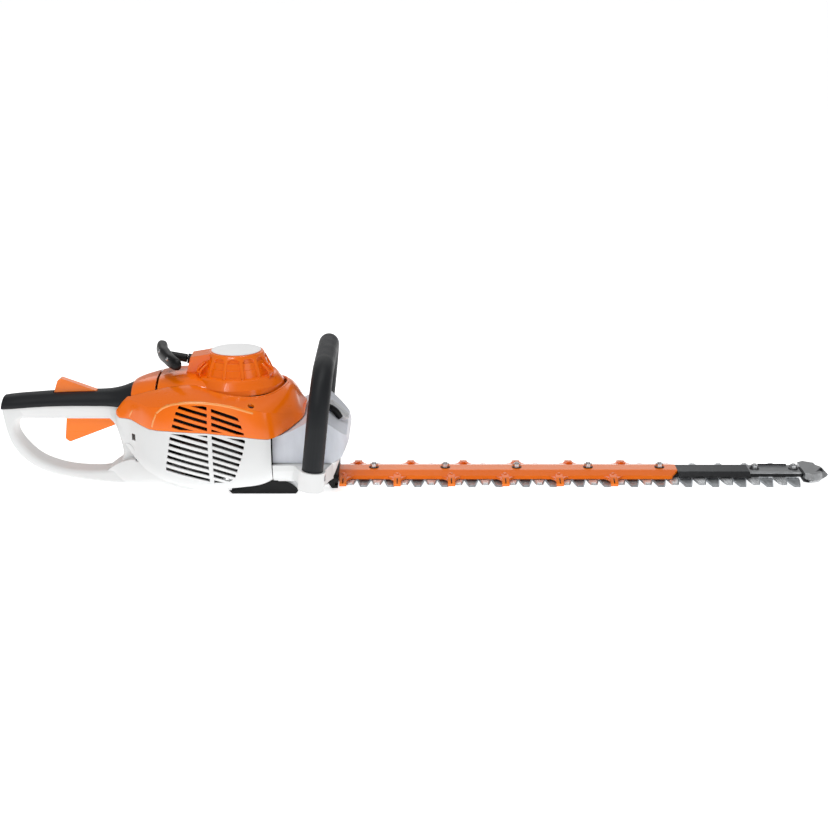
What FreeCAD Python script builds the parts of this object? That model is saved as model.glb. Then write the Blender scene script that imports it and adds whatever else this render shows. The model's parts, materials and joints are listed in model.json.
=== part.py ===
"""Petrol hedge trimmer, modelled as an assembly of separate pieces.

Frame: millimetres, +X towards the tip of the cutter bar, +Z up, Y = 0 in the plane of
the rear handle and the cutter bar. The origin is the centre of the sole's resting face.
Every driving dimension is a cell of the spreadsheet "dims".
"""
import FreeCAD
import Part
import Sketcher
import math
import os
from FreeCAD import Placement, Rotation, Vector

doc = FreeCAD.newDocument("hedge_trimmer")
dims = doc.addObject("Spreadsheet::Sheet", "dims")

SIZES = [
    # cutter bar
    ("tooth_pitch", 33.6, "tooth spacing of each blade"),
    ("tooth_count", 17, "teeth along one edge of a blade"),
    ("tooth_reach", 42, "centre line to tooth end"),
    ("tooth_root", 19, "tooth width at the blade's core"),
    ("tooth_end", 8, "tooth width at its end"),
    ("first_tooth", 103.2, "first tooth of the upper blade"),
    ("stroke", 16.8, "travel of each blade, half a tooth spacing"),
    ("blade_thick", 2.2, "blade thickness"),
    ("blade_half", 15, "half width of a blade's core"),
    ("blade_tail", 50, "rear end of the blades"),
    ("blade_tip", 666, "front end of the blades"),
    ("lower_blade_z", 5.8, "underside of the lower blade"),
    ("upper_blade_z", 8.2, "underside of the upper blade"),
    ("bar_under", 10.6, "underside of the guide bar"),
    ("bar_thick", 3.4, "guide bar thickness"),
    ("bar_half", 16, "guide bar half width"),
    ("bar_start", 76.6, "rear end of the guide bar"),
    ("bar_end", 676, "front end of the guide bar"),
    ("bolt_first", 132, "first bolt along the bar"),
    ("bolt_pitch", 90, "bolt spacing under the guard"),
    ("guard_start", 88.6, "rear end of the finger guard"),
    ("guard_end", 513, "front end of the finger guard"),
    ("guard_top", 18.3, "top of the finger guard"),
    ("finger_first", 94.5, "first near finger"),
    ("finger_reach", 47, "centre line to finger end"),
    ("finger_wide", 9, "finger width"),
    ("tip_start", 604, "rear end of the tip plate"),
    # drive
    ("crank_x", -37, "crankshaft axis"),
    ("crank_throw", 13, "half the piston's stroke"),
    ("rod_length", 46, "engine rod, eye to eye"),
    ("piston_radius", 16.2, "piston radius"),
    ("cylinder_z", 75, "height of the cylinder's axis"),
    ("gear_x", 14, "drive gear axis"),
    ("gear_module", 1.5, "tooth module of the gear pair"),
    ("gear_teeth", 56, "teeth of the drive gear"),
    ("pinion_teeth", 12, "teeth of the pinion"),
    ("gear_under", 14.5, "underside of the drive gear"),
    ("gear_thick", 8, "face width of the drive gear"),
    ("cam_radius", 12, "eccentric disc radius"),
    ("blade_pin_x", 58, "pin of the blade rods"),
    # housings
    ("wall", 2.5, "wall of the plastic covers"),
    ("seam_gap", 0.4, "gap at the cover seams"),
    ("dome_top", 170.6, "top of the starter dome"),
    ("dome_radius", 31.5, "starter dome radius at the top"),
    ("skirt_radius", 59, "starter dome radius at the bottom"),
    ("shell_front", 10, "front end of the lower shell"),
    ("tank_half", 71, "fuel tank half width"),
    ("tank_under", 46.6, "underside of the fuel tank"),
    ("cap_radius", 22, "fuel cap radius"),
    ("cap_tilt", 42, "lean of the fuel cap's axis"),
    ("sole_half", 49.5, "half width of the sole"),
    ("sole_rear", -46, "rear end of the sole"),
    ("sole_front", 40, "front end of the sole"),
    # handles and controls
    ("handle_bore", 9.8, "inner radius of the front handle tube"),
    ("handle_tube", 12.8, "outer radius of the front handle tube"),
    ("handle_half", 115, "half distance between the handle's legs"),
    ("handle_foot_x", 60, "front handle's foot"),
    ("handle_foot_z", 34, "lower end of the front handle"),
    ("handle_crest", 163.5, "axis height of the handle's top bar"),
    ("handle_bend", 58, "bend radius of the front handle"),
    ("handle_lean", 6.2, "forward lean of the front handle"),
    ("loop_half", 15.5, "half width of the rear handle's loop"),
    ("slot_pitch", 8.3, "spacing of the air slots"),
    ("slot_height", 4.2, "height of an air slot"),
    ("slot_margin", 2.6, "gap between the air slots and the seam"),
    ("trigger_half", 6.5, "trigger half width"),
    ("trigger_x", -191, "trigger pivot"),
    ("trigger_z", 89, "trigger pivot height"),
    ("lock_x", -211, "lock lever pivot"),
    ("lock_z", 110, "lock lever pivot height"),
    ("rope_z", 159, "rope outlet height"),
    ("rope_tilt", 10, "upward slope of the starter rope"),
    ("rope_radius", 1.75, "starter rope radius"),
]
for row, (alias, number, meaning) in enumerate(SIZES, start=1):
    dims.set(f"A{row}", meaning)
    dims.set(f"B{row}", str(number))
    dims.setAlias(f"B{row}", alias)
doc.recompute()

X_AXIS, Y_AXIS, Z_AXIS = Vector(1, 0, 0), Vector(0, 1, 0), Vector(0, 0, 1)
TURNED = {"X": Rotation(Y_AXIS, 90), "Y": Rotation(X_AXIS, -90), "Z": Rotation()}
nodes = []


# ---------------------------------------------------------------- helpers
def size(alias):
    """The number in a cell of the sheet."""
    return float(dims.get(alias))


def number(expression):
    """An expression's value; plain numbers pass through."""
    return float(dims.evalExpression(expression)) if isinstance(expression, str) else expression


def bind(item, **sizes):
    """Sets properties, and binds those given as text to the sheet."""
    for name, value in sizes.items():
        setattr(item, name, number(value))
        if isinstance(value, str):
            item.setExpression(name, value)
    return item


def place(item, at, rotation=None):
    """Puts an item at a point whose coordinates may be expressions."""
    item.Placement = Placement(Vector(*[number(c) for c in at]), rotation or Rotation())
    for letter, value in zip("xyz", at):
        if isinstance(value, str):
            item.setExpression(f"Placement.Base.{letter}", value)
    return item


def rod(radius, length, at, axis="Z"):
    """A cylinder that starts at a point and runs along an axis."""
    item = bind(doc.addObject("Part::Cylinder", "rod"), Radius=radius, Height=length)
    return place(item, at, TURNED[axis] if isinstance(axis, str) else axis)


def block(length, width, height, at):
    """A box given by its sizes and its lowest corner."""
    item = bind(doc.addObject("Part::Box", "block"), Length=length, Width=width, Height=height)
    return place(item, at)


def ring(outer, inner, length, at, axis="Z"):
    """A tube that starts at a point and runs along an axis."""
    return cut(rod(outer, length, at, axis), rod(inner, length, at, axis))


def fuse(*items):
    whole = doc.addObject("Part::MultiFuse", "fuse")
    whole.Shapes = list(items)
    whole.Refine = True
    return whole


def cut(base, *tools):
    whole = doc.addObject("Part::Cut", "cut")
    whole.Base = base
    whole.Tool = tools[0] if len(tools) == 1 else fuse(*tools)
    return whole


def group(*items):
    """Separate solids that share one node."""
    whole = doc.addObject("Part::Compound", "group")
    whole.Links = list(items)
    return whole


def shaped(shape):
    """A document object holding a shape made in code from the sheet's sizes."""
    item = doc.addObject("Part::Feature", "shaped")
    item.Shape = shape
    return item


def node(label, item):
    """Names a finished sub-part; its label is its file name."""
    item.Label = label
    nodes.append(item)
    return item


def plane_of(body, role):
    return next(f for f in body.Origin.OriginFeatures if f.Role == role)


def polygon_sketch(body, role, points, offset=0.0):
    """A closed outline whose corners are bound to the sheet, on one of the body's planes."""
    sketch = body.newObject("Sketcher::SketchObject", "outline")
    sketch.AttachmentSupport = [(plane_of(body, role), "")]
    sketch.MapMode = "FlatFace"
    sketch.AttachmentOffset = Placement(Vector(0, 0, number(offset)), Rotation())
    if isinstance(offset, str):
        sketch.setExpression("AttachmentOffset.Base.z", offset)
    corners = [Vector(number(u), number(v), 0) for u, v in points]
    for i, corner in enumerate(corners):
        sketch.addGeometry(Part.LineSegment(corner, corners[(i + 1) % len(corners)]), False)
    for i in range(len(corners)):
        sketch.addConstraint(Sketcher.Constraint("Coincident", i, 2, (i + 1) % len(corners), 1))
    for i, pair in enumerate(points):
        for kind, value in zip(("DistanceX", "DistanceY"), pair):
            index = sketch.addConstraint(Sketcher.Constraint(kind, -1, 1, i, 1, number(value)))
            if isinstance(value, str):
                sketch.setExpression(f"Constraints[{index}]", value)
    return sketch


def pad_body(role, points, length, offset=0.0, both=False):
    """A body made by padding one outline."""
    body = doc.addObject("PartDesign::Body", "body")
    pad = body.newObject("PartDesign::Pad", "pad")
    pad.Profile = polygon_sketch(body, role, points, offset)
    bind(pad, Length=length)
    pad.Midplane = both
    doc.recompute()
    return body


def turned_body(points, x="0", y="0", z="0", rotation=None):
    """A body turned about its own vertical axis from an outline of (radius, height) pairs."""
    body = doc.addObject("PartDesign::Body", "body")
    spin = body.newObject("PartDesign::Revolution", "spin")
    spin.Profile = polygon_sketch(body, "XZ_Plane", points)
    spin.ReferenceAxis = (plane_of(body, "Z_Axis"), [""])
    spin.Angle = 360
    doc.recompute()
    return place(body, (x, y, z), rotation)


def round_edges(body, radius, wanted):
    """Fillets the edges of a body's tip that a test picks out."""
    tip = body.Tip
    names = [f"Edge{i + 1}" for i, edge in enumerate(tip.Shape.Edges) if wanted(edge)]
    fillet = body.newObject("PartDesign::Fillet", "fillet")
    fillet.Base = (tip, names)
    bind(fillet, Radius=radius)
    doc.recompute()
    return body


def runs_along(edge, axis):
    """Whether an edge is a straight line along an axis."""
    if not isinstance(edge.Curve, Part.Line):
        return False
    return abs(abs(edge.Curve.Direction.dot(axis)) - 1) < 1e-6


def spline(points, closed=False):
    curve = Part.BSplineCurve()
    curve.interpolate(Points=[Vector(*p) for p in points], PeriodicFlag=closed)
    return curve.toShape()


def prism_xz(points, half):
    """A closed XZ outline made solid from -half to +half along Y."""
    corners = [Vector(x, -half, z) for x, z in points]
    face = Part.Face(Part.makePolygon(corners + corners[:1]))
    return face.extrude(Vector(0, 2 * half, 0))


def rounded_rect(half_x, half_y, radius, centre, z):
    """A horizontal rectangle with round corners."""
    x, y = half_x - radius, half_y - radius
    edges = []
    for i, (sx, sy) in enumerate([(1, 1), (-1, 1), (-1, -1), (1, -1)]):
        hub = Vector(centre + sx * x, sy * y, z)
        a = math.radians(90 * i)
        spots = [hub + Vector(math.cos(a + t), math.sin(a + t), 0) * radius
                 for t in (0, math.pi / 4, math.pi / 2)]
        edges.append(Part.Arc(*spots).toShape())
    joined = []
    for i, edge in enumerate(edges):
        after = edges[(i + 1) % 4]
        joined += [edge, Part.makeLine(edge.lastVertex().Point, after.firstVertex().Point)]
    return Part.Wire(joined)


# ---------------------------------------------------------------- engine covers
# Stations along the covers: x, deck height at the centre, shoulder (y, z), waist (y, z),
# lower edge (y, z). The deck is the top face that the starter cover stands on.
STATIONS = [
    (-186, 110, 13, 107, 18, 100, 15, 88),
    (-172, 120, 30, 113, 38, 95, 35, 57),
    (-150, 130, 54, 117, 61, 92, 56, 38),
    (-127, 136.5, 74, 118, 80, 89, 69, 26.5),
    (-98, 140, 82, 125, 87, 88, 64, 14.5),
    (-62, 136.5, 84, 127, 88, 86, 59, 9.5),
    (-25, 132.5, 84, 121, 88, 82, 57, 12),
    (4, 131, 79, 113, 85, 79, 56, 18.5),
    (22, 131.5, 65, 108, 73, 80, 54, 32),
    (38, 118, 45, 103, 54, 85, 46, 52),
    (48, 102, 25, 98, 32, 91, 26, 72),
]
SEAM = [(-200, 99), (-187, 97.5), (-180, 93), (-163, 94.2), (-137, 90.3), (-112, 91), (-66, 89.2),
        (-21, 84.2), (7, 80.4), (14.5, 81.2), (32, 87.5), (49, 96.5), (60, 103)]
SHROUD_SCREW = (-13, 77, 117.5)
HUMP = [
    (-187, 112, 15, 100), (-166, 130, 29, 104), (-150, 137, 38, 108), (-135, 141, 43, 112),
    (-118, 144.5, 47, 114), (-96, 145.5, 49, 116), (-70, 143, 50, 118), (-52, 140, 50, 119),
]


def cover_section(station, inset):
    """One cross-section of the covers: deck, side and bottom edges, mirrored about Y = 0."""
    x, top, ys, zs, yw, zw, yl, zl = station
    top, ys, zs, yw, yl, zl = top - inset, ys - inset, zs - inset, yw - inset, yl - inset, zl + inset
    deck = [(x, -ys, zs), (x, -0.62 * ys, zs + 0.72 * (top - zs)), (x, 0, top),
            (x, 0.62 * ys, zs + 0.72 * (top - zs)), (x, ys, zs)]
    side = [(ys, zs), (0.3 * ys + 0.7 * yw, 0.45 * zs + 0.55 * zw), (yw, zw),
            (0.9 * yw + 0.1 * yl, 0.5 * zw + 0.5 * zl),
            (0.6 * yw + 0.4 * yl, 0.14 * zw + 0.86 * zl), (yl, zl)]
    right = spline([(x, y, z) for y, z in side])
    left = spline([(x, -y, z) for y, z in reversed(side)])
    floor = Part.makeLine(Vector(x, yl, zl), Vector(x, -yl, zl))
    return Part.Wire([spline(deck), right, floor, left])


def cover_body(inset):
    stations = [list(s) for s in STATIONS]
    stations[0][0] += inset
    stations[-1][0] -= inset
    return Part.makeLoft([cover_section(s, inset) for s in stations], True, False)


def hump_body(inset):
    """The raised back that runs from the rear grip to the starter dome."""
    wires = []
    last = len(HUMP) - 1
    for i, (x, top, half, foot) in enumerate(HUMP):
        top, half, foot = top - inset, half - inset, foot - 3 * abs(inset)
        x += abs(inset) * ((i == last) - (i == 0))
        arch = spline([(x, -half, foot), (x, -0.93 * half, 0.35 * foot + 0.65 * top),
                       (x, -0.6 * half, 0.08 * foot + 0.92 * top), (x, 0, top),
                       (x, 0.6 * half, 0.08 * foot + 0.92 * top),
                       (x, 0.93 * half, 0.35 * foot + 0.65 * top), (x, half, foot)])
        base = Part.makeLine(Vector(x, half, foot), Vector(x, -half, foot))
        wires.append(Part.Wire([arch, base]))
    return Part.makeLoft(wires, True, False)


def above_seam(shift):
    """Everything above the seam line, moved up by a shift."""
    line = [(x, z + shift) for x, z in SEAM]
    return prism_xz(line + [(60, 200), (-200, 200)], 120)


def below_seam(shift):
    line = [(x, z + shift) for x, z in SEAM]
    return prism_xz(line + [(60, -20), (-200, -20)], 120)


def slots():
    """Slanted air slots in two columns on one side, clipped to the grille's outline."""
    cutters = []
    for rear, front, start, first, slope in ((-125, -65, -66, 119.2, 16.2), (-60, -15, -60, 117.1, 19)):
        column = prism_xz([(rear, 0), (front, 0), (front, 200), (rear, 200)], 119)
        column = column.common(grille_outline())
        for row in range(12):
            slot = Part.makeBox(160, 66, size("slot_height"), Vector(-80, 0, -size("slot_height") / 2))
            slot.rotate(Vector(), Y_AXIS, slope)
            slot.translate(Vector(start, -118, first - size("slot_pitch") * row))
            cutters.append(slot.common(column))
    return Part.makeCompound(cutters)


def grille_outline():
    """The tapering panel that the air slots fill, seen from the side."""
    return prism_xz([(-98, 122.5), (-64, 122.5), (-45, 117), (-28, 107.5), (-21.5, 90), (-20, 79),
                     (-24, 61), (-29, 46), (-34.5, 30), (-44, 24), (-80, 23.5), (-118.5, 33),
                     (-116.5, 50), (-113.5, 66), (-109.5, 90), (-103, 113)], 119)


def engine_covers():
    wall, gap = size("wall"), size("seam_gap") / 2
    skin = cover_body(0).cut(cover_body(wall))
    back = hump_body(0).cut(hump_body(wall))
    crank = size("crank_x")
    near_slots = slots()
    far_slots = near_slots.mirror(Vector(), Y_AXIS)
    opening = Part.makeCylinder(size("skirt_radius") + 2.6, 60, Vector(crank, 0, 100))
    hump_way = hump_body(-0.6)
    frame_way = Part.makeBox(40, 38, 90, Vector(-200, -19, 20))
    grip_way = Part.makeBox(37.8, 50, 55, Vector(-202, -25, 85))
    shroud = skin.common(above_seam(gap)).cut(opening).cut(hump_way).cut(frame_way).cut(grip_way)
    shroud = shroud.cut(control_holes())
    upper = above_seam(size("slot_margin"))
    shroud = shroud.cut(near_slots.common(upper)).cut(far_slots.common(upper))
    node("engine_shroud", shaped(largest(shroud)))
    shell = skin.common(below_seam(-gap))
    front = Part.makeBox(100, 240, 200, Vector(size("shell_front"), -120, -20))
    floor = Part.makeBox(240, 104, 36, Vector(-210, -52, -10))
    tail_way = Part.makeBox(95, 86, 52, Vector(-210, -43, -10))
    screw_way = Part.makeBox(5, 60, 8.5, Vector(-163, -90, 68.5))
    bulb_way = Part.makeCylinder(8.4, 50, Vector(-150, 40, 72), Y_AXIS)
    buffer_way = Part.makeCylinder(7, 20, Vector(-150, 0, 32))
    shell = shell.cut([front, floor, tail_way, frame_way, screw_way, bulb_way, buffer_way])
    lower = below_seam(-size("slot_margin"))
    shell = shell.cut(near_slots.common(lower)).cut(far_slots.common(lower))
    node("lower_shell", shaped(largest(shell)))
    grip_end = prism_xz([(-240, 50), (-166.2, 50), (-164.2, 152), (-240, 152)], 60)
    rear = prism_xz([(-200, 90), (-133, 90), (-133, 160), (-200, 160)], 60)
    node("filter_cover", shaped(largest(back.common(rear).cut(grip_end))))
    front = prism_xz([(-130, 90), (-40, 90), (-40, 160), (-130, 160)], 60)
    starter_cover(largest(back.common(front)), hump_body(wall).common(front))


def control_holes():
    """Holes in the shroud for the stop button, the choke lever and the cover screws."""
    holes = [Part.makeCylinder(5.9, 30, Vector(-120, 66, 104), Y_AXIS),
             Part.makeCylinder(4.4, 30, Vector(-146, 50, 104), Y_AXIS)]
    x, y, _ = SHROUD_SCREW
    for side in (-1, 1):
        holes.append(Part.makeCylinder(3.9, 60, Vector(x, side * y, 90)))
    return holes


def largest(shape):
    """The biggest solid of a result, without the crumbs that a cut can leave."""
    return max(shape.Solids, key=lambda solid: solid.Volume)


def starter_cover(tail, tail_room):
    """Stepped dome over the rope pulley, with louvres, ribs, a rope outlet and the tail."""
    wall, crank, top = size("wall"), size("crank_x"), size("dome_top")
    head, skirt = size("dome_radius"), size("skirt_radius")
    outer = [(0, top), (head, top), (head + 1, top - 2), (head + 3.5, top - 9), (head + 5, top - 9),
             (head + 7.5, top - 17), (head + 9, top - 17), (head + 12, top - 26),
             (head + 17.5, top - 27), (head + 19.5, top - 29), (skirt - 1.5, 133), (skirt, 126.5)]
    inner = [(r - wall if r else 0, z - (wall if r <= head else 0.6)) for r, z in outer[:-1]]
    inner += [(skirt - wall, 126.5)]
    dome = spun(outer + [(0, 126.5)], crank)
    room = spun(inner + [(0, 126.5)], crank)
    outlet = prism_xz([(-92, 165), (-66, 169.5), (-66, 140), (-100, 140), (-96, 150)], 15)
    bore = Part.makeCylinder(6.2, 80, Vector(-40, 0, rope_height(-40)), rope_direction())
    cover = dome.fuse(outlet).fuse(tail).cut(room).cut(bore)
    cover = cover.cut(tail_room.cut(spun(outer + [(0, 126.5)], crank)))
    ribs = []
    for i in range(12):
        fin = [(head - 2, top - 1.5), (head + 0.5, top - 0.6), (head + 4.5, top - 7),
               (head + 9.5, top - 17), (head + 13.5, top - 26.5), (head + 8, top - 26.5)]
        rib = prism_xz([(r, z) for r, z in fin], 0.9)
        rib.rotate(Vector(), Z_AXIS, 15 + 30 * i)
        rib.translate(Vector(crank, 0, 0))
        ribs.append(rib)
    post = Part.makeCylinder(4.9, 22, Vector(crank, 0, 147))
    cover = cover.fuse(ribs + [post]).cut(bore)
    node("starter_cover", shaped(largest(cover)))
    node("starter_label", rod("dims.dome_radius - 1", 0.8, ("dims.crank_x", 0, "dims.dome_top")))


def spun(outline, axis_x):
    """A solid turned about a vertical axis from (radius, height) pairs."""
    corners = [Vector(axis_x + r, 0, z) for r, z in outline]
    face = Part.Face(Part.makePolygon(corners + corners[:1]))
    return face.revolve(Vector(axis_x, 0, 0), Z_AXIS, 360)


def rope_direction():
    tilt = math.radians(size("rope_tilt"))
    return Vector(-math.cos(tilt), 0, math.sin(tilt))


def rope_height(x):
    """Height of the rope's line at a place along X."""
    return size("rope_z") - (x + 92) * math.tan(math.radians(size("rope_tilt")))


def service_parts():
    """Stop button, choke lever and primer bulb on the far side."""
    button = fuse(rod(5.5, 6, (-120, 83.2, 104), "Y"), rod(3.5, 8, (-120, 75.6, 104), "Y"))
    node("stop_button", button)
    lever = fuse(rod(4, 9, (-146, 66, 104), "Y"), block(5, 4, 22, (-148.5, 70, 100)))
    node("choke_lever", lever)
    bulb = shaped(Part.makeSphere(8, Vector(-150, 62, 72)))
    node("primer_bulb", cut(bulb, block(40, 20, 40, (-170, 43, 52))))


# ---------------------------------------------------------------- tank and front base
def fuel_tank():
    under, half, wall = size("tank_under"), size("tank_half"), size("wall")
    outline = [(11, under), (84, under), (95, 52), (103, 69), (100, 77), (71, 103), (58, 103),
               (49, 95), (32, 86), (15, 79.6), (11, 79.3)]
    inside = [(14, under + 3), (83, under + 3), (92, 54), (99.4, 69), (97, 75.5), (69, 100),
              (60, 100), (50, 91.5), (33, 82.6), (16, 76.6), (14, 76.3)]
    plan = rounded_rect(46, half, 30, 57, 0)
    room_plan = rounded_rect(46 - wall, half - wall, 27.5, 57, 0)
    body = Part.Face(plan).extrude(Vector(0, 0, 150)).common(prism_xz(outline, half))
    rear = Part.makeBox(30, 2 * half, 100, Vector(11, -half, under)).common(prism_xz(outline, half))
    body = body.fuse(rear).removeSplitter()
    room = Part.Face(room_plan).extrude(Vector(0, 0, 150)).common(prism_xz(inside, half - wall))
    neck = Part.makeCylinder(19, 14, cap_centre(-12), cap_axis())
    neck_hole = Part.makeCylinder(15.5, 30, cap_centre(-22), cap_axis())
    tank = body.cut(room).fuse(neck.cut(room)).cut(neck_hole)
    node("fuel_tank", shaped(largest(tank)))


def cap_axis():
    tilt = math.radians(size("cap_tilt"))
    return Vector(math.sin(tilt), 0, math.cos(tilt))


def cap_centre(height):
    """A point on the cap's axis, at a height over the tank's sloping face."""
    return Vector(86, 0, 91) + cap_axis() * height


def fuel_cap():
    lean = Rotation(Y_AXIS, size("cap_tilt"))
    foot = cap_centre(2.4)
    skirt = bind(doc.addObject("Part::Cylinder", "skirt"), Radius="dims.cap_radius - 1.5", Height=7)
    place(skirt, tuple(foot), lean)
    plug = rod(15.1, 12, tuple(cap_centre(-9)), lean)
    wing = shaped(Part.makeBox(38, 9, 7, Vector(-19, -4.5, 0)))
    place(wing, tuple(cap_centre(13.2)), lean)
    disc = rod("dims.cap_radius", 4, tuple(cap_centre(9.3)), lean)
    node("fuel_cap", fuse(skirt, plug, disc, wing))


def front_base():
    """White base under the tank, with a socket for each leg of the front handle."""
    foot = size("handle_half")
    lower = rounded_rect(36, 51, 16, 47, 18)
    upper = rounded_rect(40.5, 73, 24, 51.5, 46)
    hull = Part.makeLoft([lower, upper], True, True)
    room = Part.makeLoft([rounded_rect(33, 48, 13, 47, 17.9), rounded_rect(37, 69, 20, 51, 42)],
                         True, True)
    hull = hull.fuse(cheeks(0, 11, 48))
    room = room.fuse(cheeks(3, 14, 45))
    nose = Part.makeBox(34.4, 90, 14.5, Vector(41, -45, 4))
    nose_room = Part.makeBox(42, 85, 16, Vector(39, -42.5, 3))
    gear_way = Part.makeBox(11, 120, 23, Vector(5, -60, 10))
    gear_way = gear_way.fuse(Part.makeCylinder(47.6, 17, Vector(size("gear_x"), 0, 10)))
    mount_way = Part.makeBox(20, 82, 23.6, Vector(75.4, -41, 0))
    sockets = []
    lean = math.tan(math.radians(size("handle_lean")))
    for side in (-1, 1):
        arm = Part.makeLoft([
            arm_section(side * 62, 30, 84, 24, 44),
            arm_section(side * 84, 40, 79, 27, 46),
            arm_section(side * foot, 47, 73.5, 28, 48)], True, False)
        axis = Vector(lean, 0, 1).normalize()
        low = Vector(size("handle_foot_x") - lean * 6, side * foot, size("handle_foot_z") - 6)
        sockets += [arm, Part.makeCylinder(15.6, 24, low, axis)]
    base = hull.fuse(sockets + [nose]).cut([room, nose_room, gear_way, mount_way])
    for side in (-1, 1):
        low = Vector(size("handle_foot_x"), side * foot, size("handle_foot_z"))
        base = base.cut(Part.makeCylinder(size("handle_tube"), 60, low, axis))
        bore = Vector(size("handle_foot_x") + 1, side * foot, 43)
        base = base.cut(Part.makeCylinder(2.6, 30, bore, X_AXIS))
        base = base.cut(Part.makeCylinder(4.7, 20, bore + Vector(14.3, 0, 0), X_AXIS))
    node("front_base", shaped(largest(base)))


def cheeks(inset, rear, front):
    """The base's rear part: a constant cross-section that is flush with the lower shell."""
    side = [(77 - inset, 45.7 - 1.5 * inset), (75.5 - inset, 38), (70 - inset, 27),
            (57 - inset, 18.9), (52 - inset, 18.3 - 0.5 * inset)]
    outline = side + [(-y, z) for y, z in reversed(side)]
    corners = [Vector(rear, y, z) for y, z in outline]
    face = Part.Face(Part.makePolygon(corners + corners[:1]))
    return face.extrude(Vector(front - rear, 0, 0))


def arm_section(y, x_low, x_high, z_low, z_high):
    """A rectangle across the arm that carries a handle socket."""
    spots = [(x_low, z_low), (x_high, z_low), (x_high, z_high), (x_low, z_high)]
    return Part.makePolygon([Vector(x, y, z) for x, z in spots + spots[:1]])


def sole():
    """Black sliding sole: a floor and two crescent cheeks."""
    rear, front, half = size("sole_rear"), size("sole_front"), size("sole_half")
    length = front - rear
    crest = [(rear, 0, 4), (rear + 0.3 * length, 0, 9), (rear + 0.6 * length, 0, 16.5),
             (rear + 0.85 * length, 0, 14.5), (front, 0, 4.5)]
    side = [spline(crest), Part.makeLine(Vector(front, 0, 4.5), Vector(front - 3, 0, 0)),
            Part.makeLine(Vector(front - 3, 0, 0), Vector(rear + 4, 0, 0)),
            Part.makeLine(Vector(rear + 4, 0, 0), Vector(rear, 0, 4))]
    whole = Part.Face(Part.Wire(side)).extrude(Vector(0, 2 * half, 0))
    whole.translate(Vector(0, -half, 0))
    room = Part.makeBox(length + 20, 2 * half - 3.4, 30, Vector(rear - 10, -half + 1.7, 1.8))
    node("sole", shaped(whole.cut(room)))


def gear_case():
    """Aluminium pan round the gear pair and the blade rods, and its bearing lid."""
    def plan(inset, z, height):
        gear, crank = size("gear_x"), size("crank_x")
        big = Part.makeCylinder(47 - inset, height, Vector(gear, 0, z))
        small = Part.makeCylinder(15 - inset, height, Vector(crank, 0, z))
        link = Part.makeBox(45, 2 * (15 - inset), height, Vector(crank, inset - 15, z))
        front = Part.makeBox(35 - inset, 2 * (21 - inset), height, Vector(40, inset - 21, z))
        return big.fuse([small, link, front])
    pan = plan(0, 2, 21.8).cut(plan(2, 3.3, 30))
    mouth = Part.makeBox(20, 33, 9.6, Vector(66, -16.5, 3.3))
    node("gear_case", shaped(largest(pan.cut(mouth))))
    lid = plan(0, 24, 2.4).fuse(Part.makeBox(14, 72, 2.4, Vector(size("crank_x") - 7, -36, 24)))
    for x in (size("gear_x"), size("crank_x")):
        lid = lid.fuse(Part.makeCylinder(12, 6, Vector(x, 0, 24)))
        lid = lid.cut(Part.makeCylinder(9, 20, Vector(x, 0, 24.0)))
    node("gear_case_lid", shaped(lid))


def rear_handle():
    """White D-shaped loop with the lower half of the grip, and a tail under the engine."""
    outer = [(-329.5, 0, 98.2), (-326.5, 0, 78), (-321, 0, 57), (-307, 0, 35), (-287, 0, 20.5),
             (-265, 0, 12), (-237, 0, 6.4), (-194, 0, 1.2), (-150, 0, 0.6)]
    grip_line = [(-150, 0, 101), (-192, 0, 102.8), (-244, 0, 103), (-290, 0, 101.2),
                 (-329.5, 0, 98.2)]
    edges = [spline(outer), Part.makeLine(Vector(-150, 0, 0.6), Vector(-150, 0, 101)),
             spline(grip_line)]
    hole = [(-300, 0, 85.8), (-309, 0, 83), (-313.5, 0, 75), (-311.5, 0, 63), (-303, 0, 50),
            (-287, 0, 35), (-268, 0, 26), (-248, 0, 21), (-226, 0, 19), (-204, 0, 19.6),
            (-190, 0, 24), (-182.5, 0, 34), (-181.5, 0, 48), (-184.5, 0, 62), (-188.5, 0, 76),
            (-196, 0, 85.6)]
    rim = Part.Wire([spline(hole), Part.makeLine(Vector(*hole[-1]), Vector(*hole[0]))])
    half = size("loop_half")
    loop = Part.Face(Part.Wire(edges)).extrude(Vector(0, 2 * half, 0))
    loop.translate(Vector(0, -half, 0))
    gap = Part.Face(rim).extrude(Vector(0, 60, 0))
    gap.translate(Vector(0, -30, 0))
    loop = loop.cut(gap)
    rims = [e for e in loop.Edges if abs(abs(e.CenterOfMass.y) - half) < 0.1
            and e.CenterOfMass.z < 97 and e.CenterOfMass.x < -155]
    loop = loop.makeFillet(5, rims)
    tail = Part.makeLoft([tail_section(*s) for s in (
        (-214, 13, 3.4, 12), (-185, 19, 0.9, 30), (-150, 33, 0.4, 34), (-112, 46, 0.2, 15),
        (-80, 49, 0.4, 11), (-50, 46, 2.2, 9))], True, False)
    slot = 2 * size("trigger_half") + 1.4
    trigger_way = Part.makeBox(80, slot, 50, Vector(-266, -slot / 2, 60))
    handle = loop.fuse(tail).cut(trigger_way)
    case_room = Part.makeBox(16, 62, 12, Vector(-55.5, -31, 1.5))
    engine_room = Part.makeBox(24, 80, 80, Vector(-163.5, -40, 34.6))
    cable_way = Part.makeBox(30, 9, 12, Vector(-190, -2, 92))
    node("rear_handle", shaped(largest(handle.cut([case_room, engine_room, cable_way]))))


def tail_section(x, half, low, high):
    """Cross-section of the tail: flat top, sides rounding in to the bottom."""
    floor = spline([(x, -half, high), (x, -0.92 * half, 0.45 * high + 0.55 * low),
                    (x, -0.62 * half, 0.06 * high + 0.94 * low), (x, 0, low),
                    (x, 0.62 * half, 0.06 * high + 0.94 * low),
                    (x, 0.92 * half, 0.45 * high + 0.55 * low), (x, half, high)])
    lid = Part.makeLine(Vector(x, half, high), Vector(x, -half, high))
    return Part.Wire([floor, lid])


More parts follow.
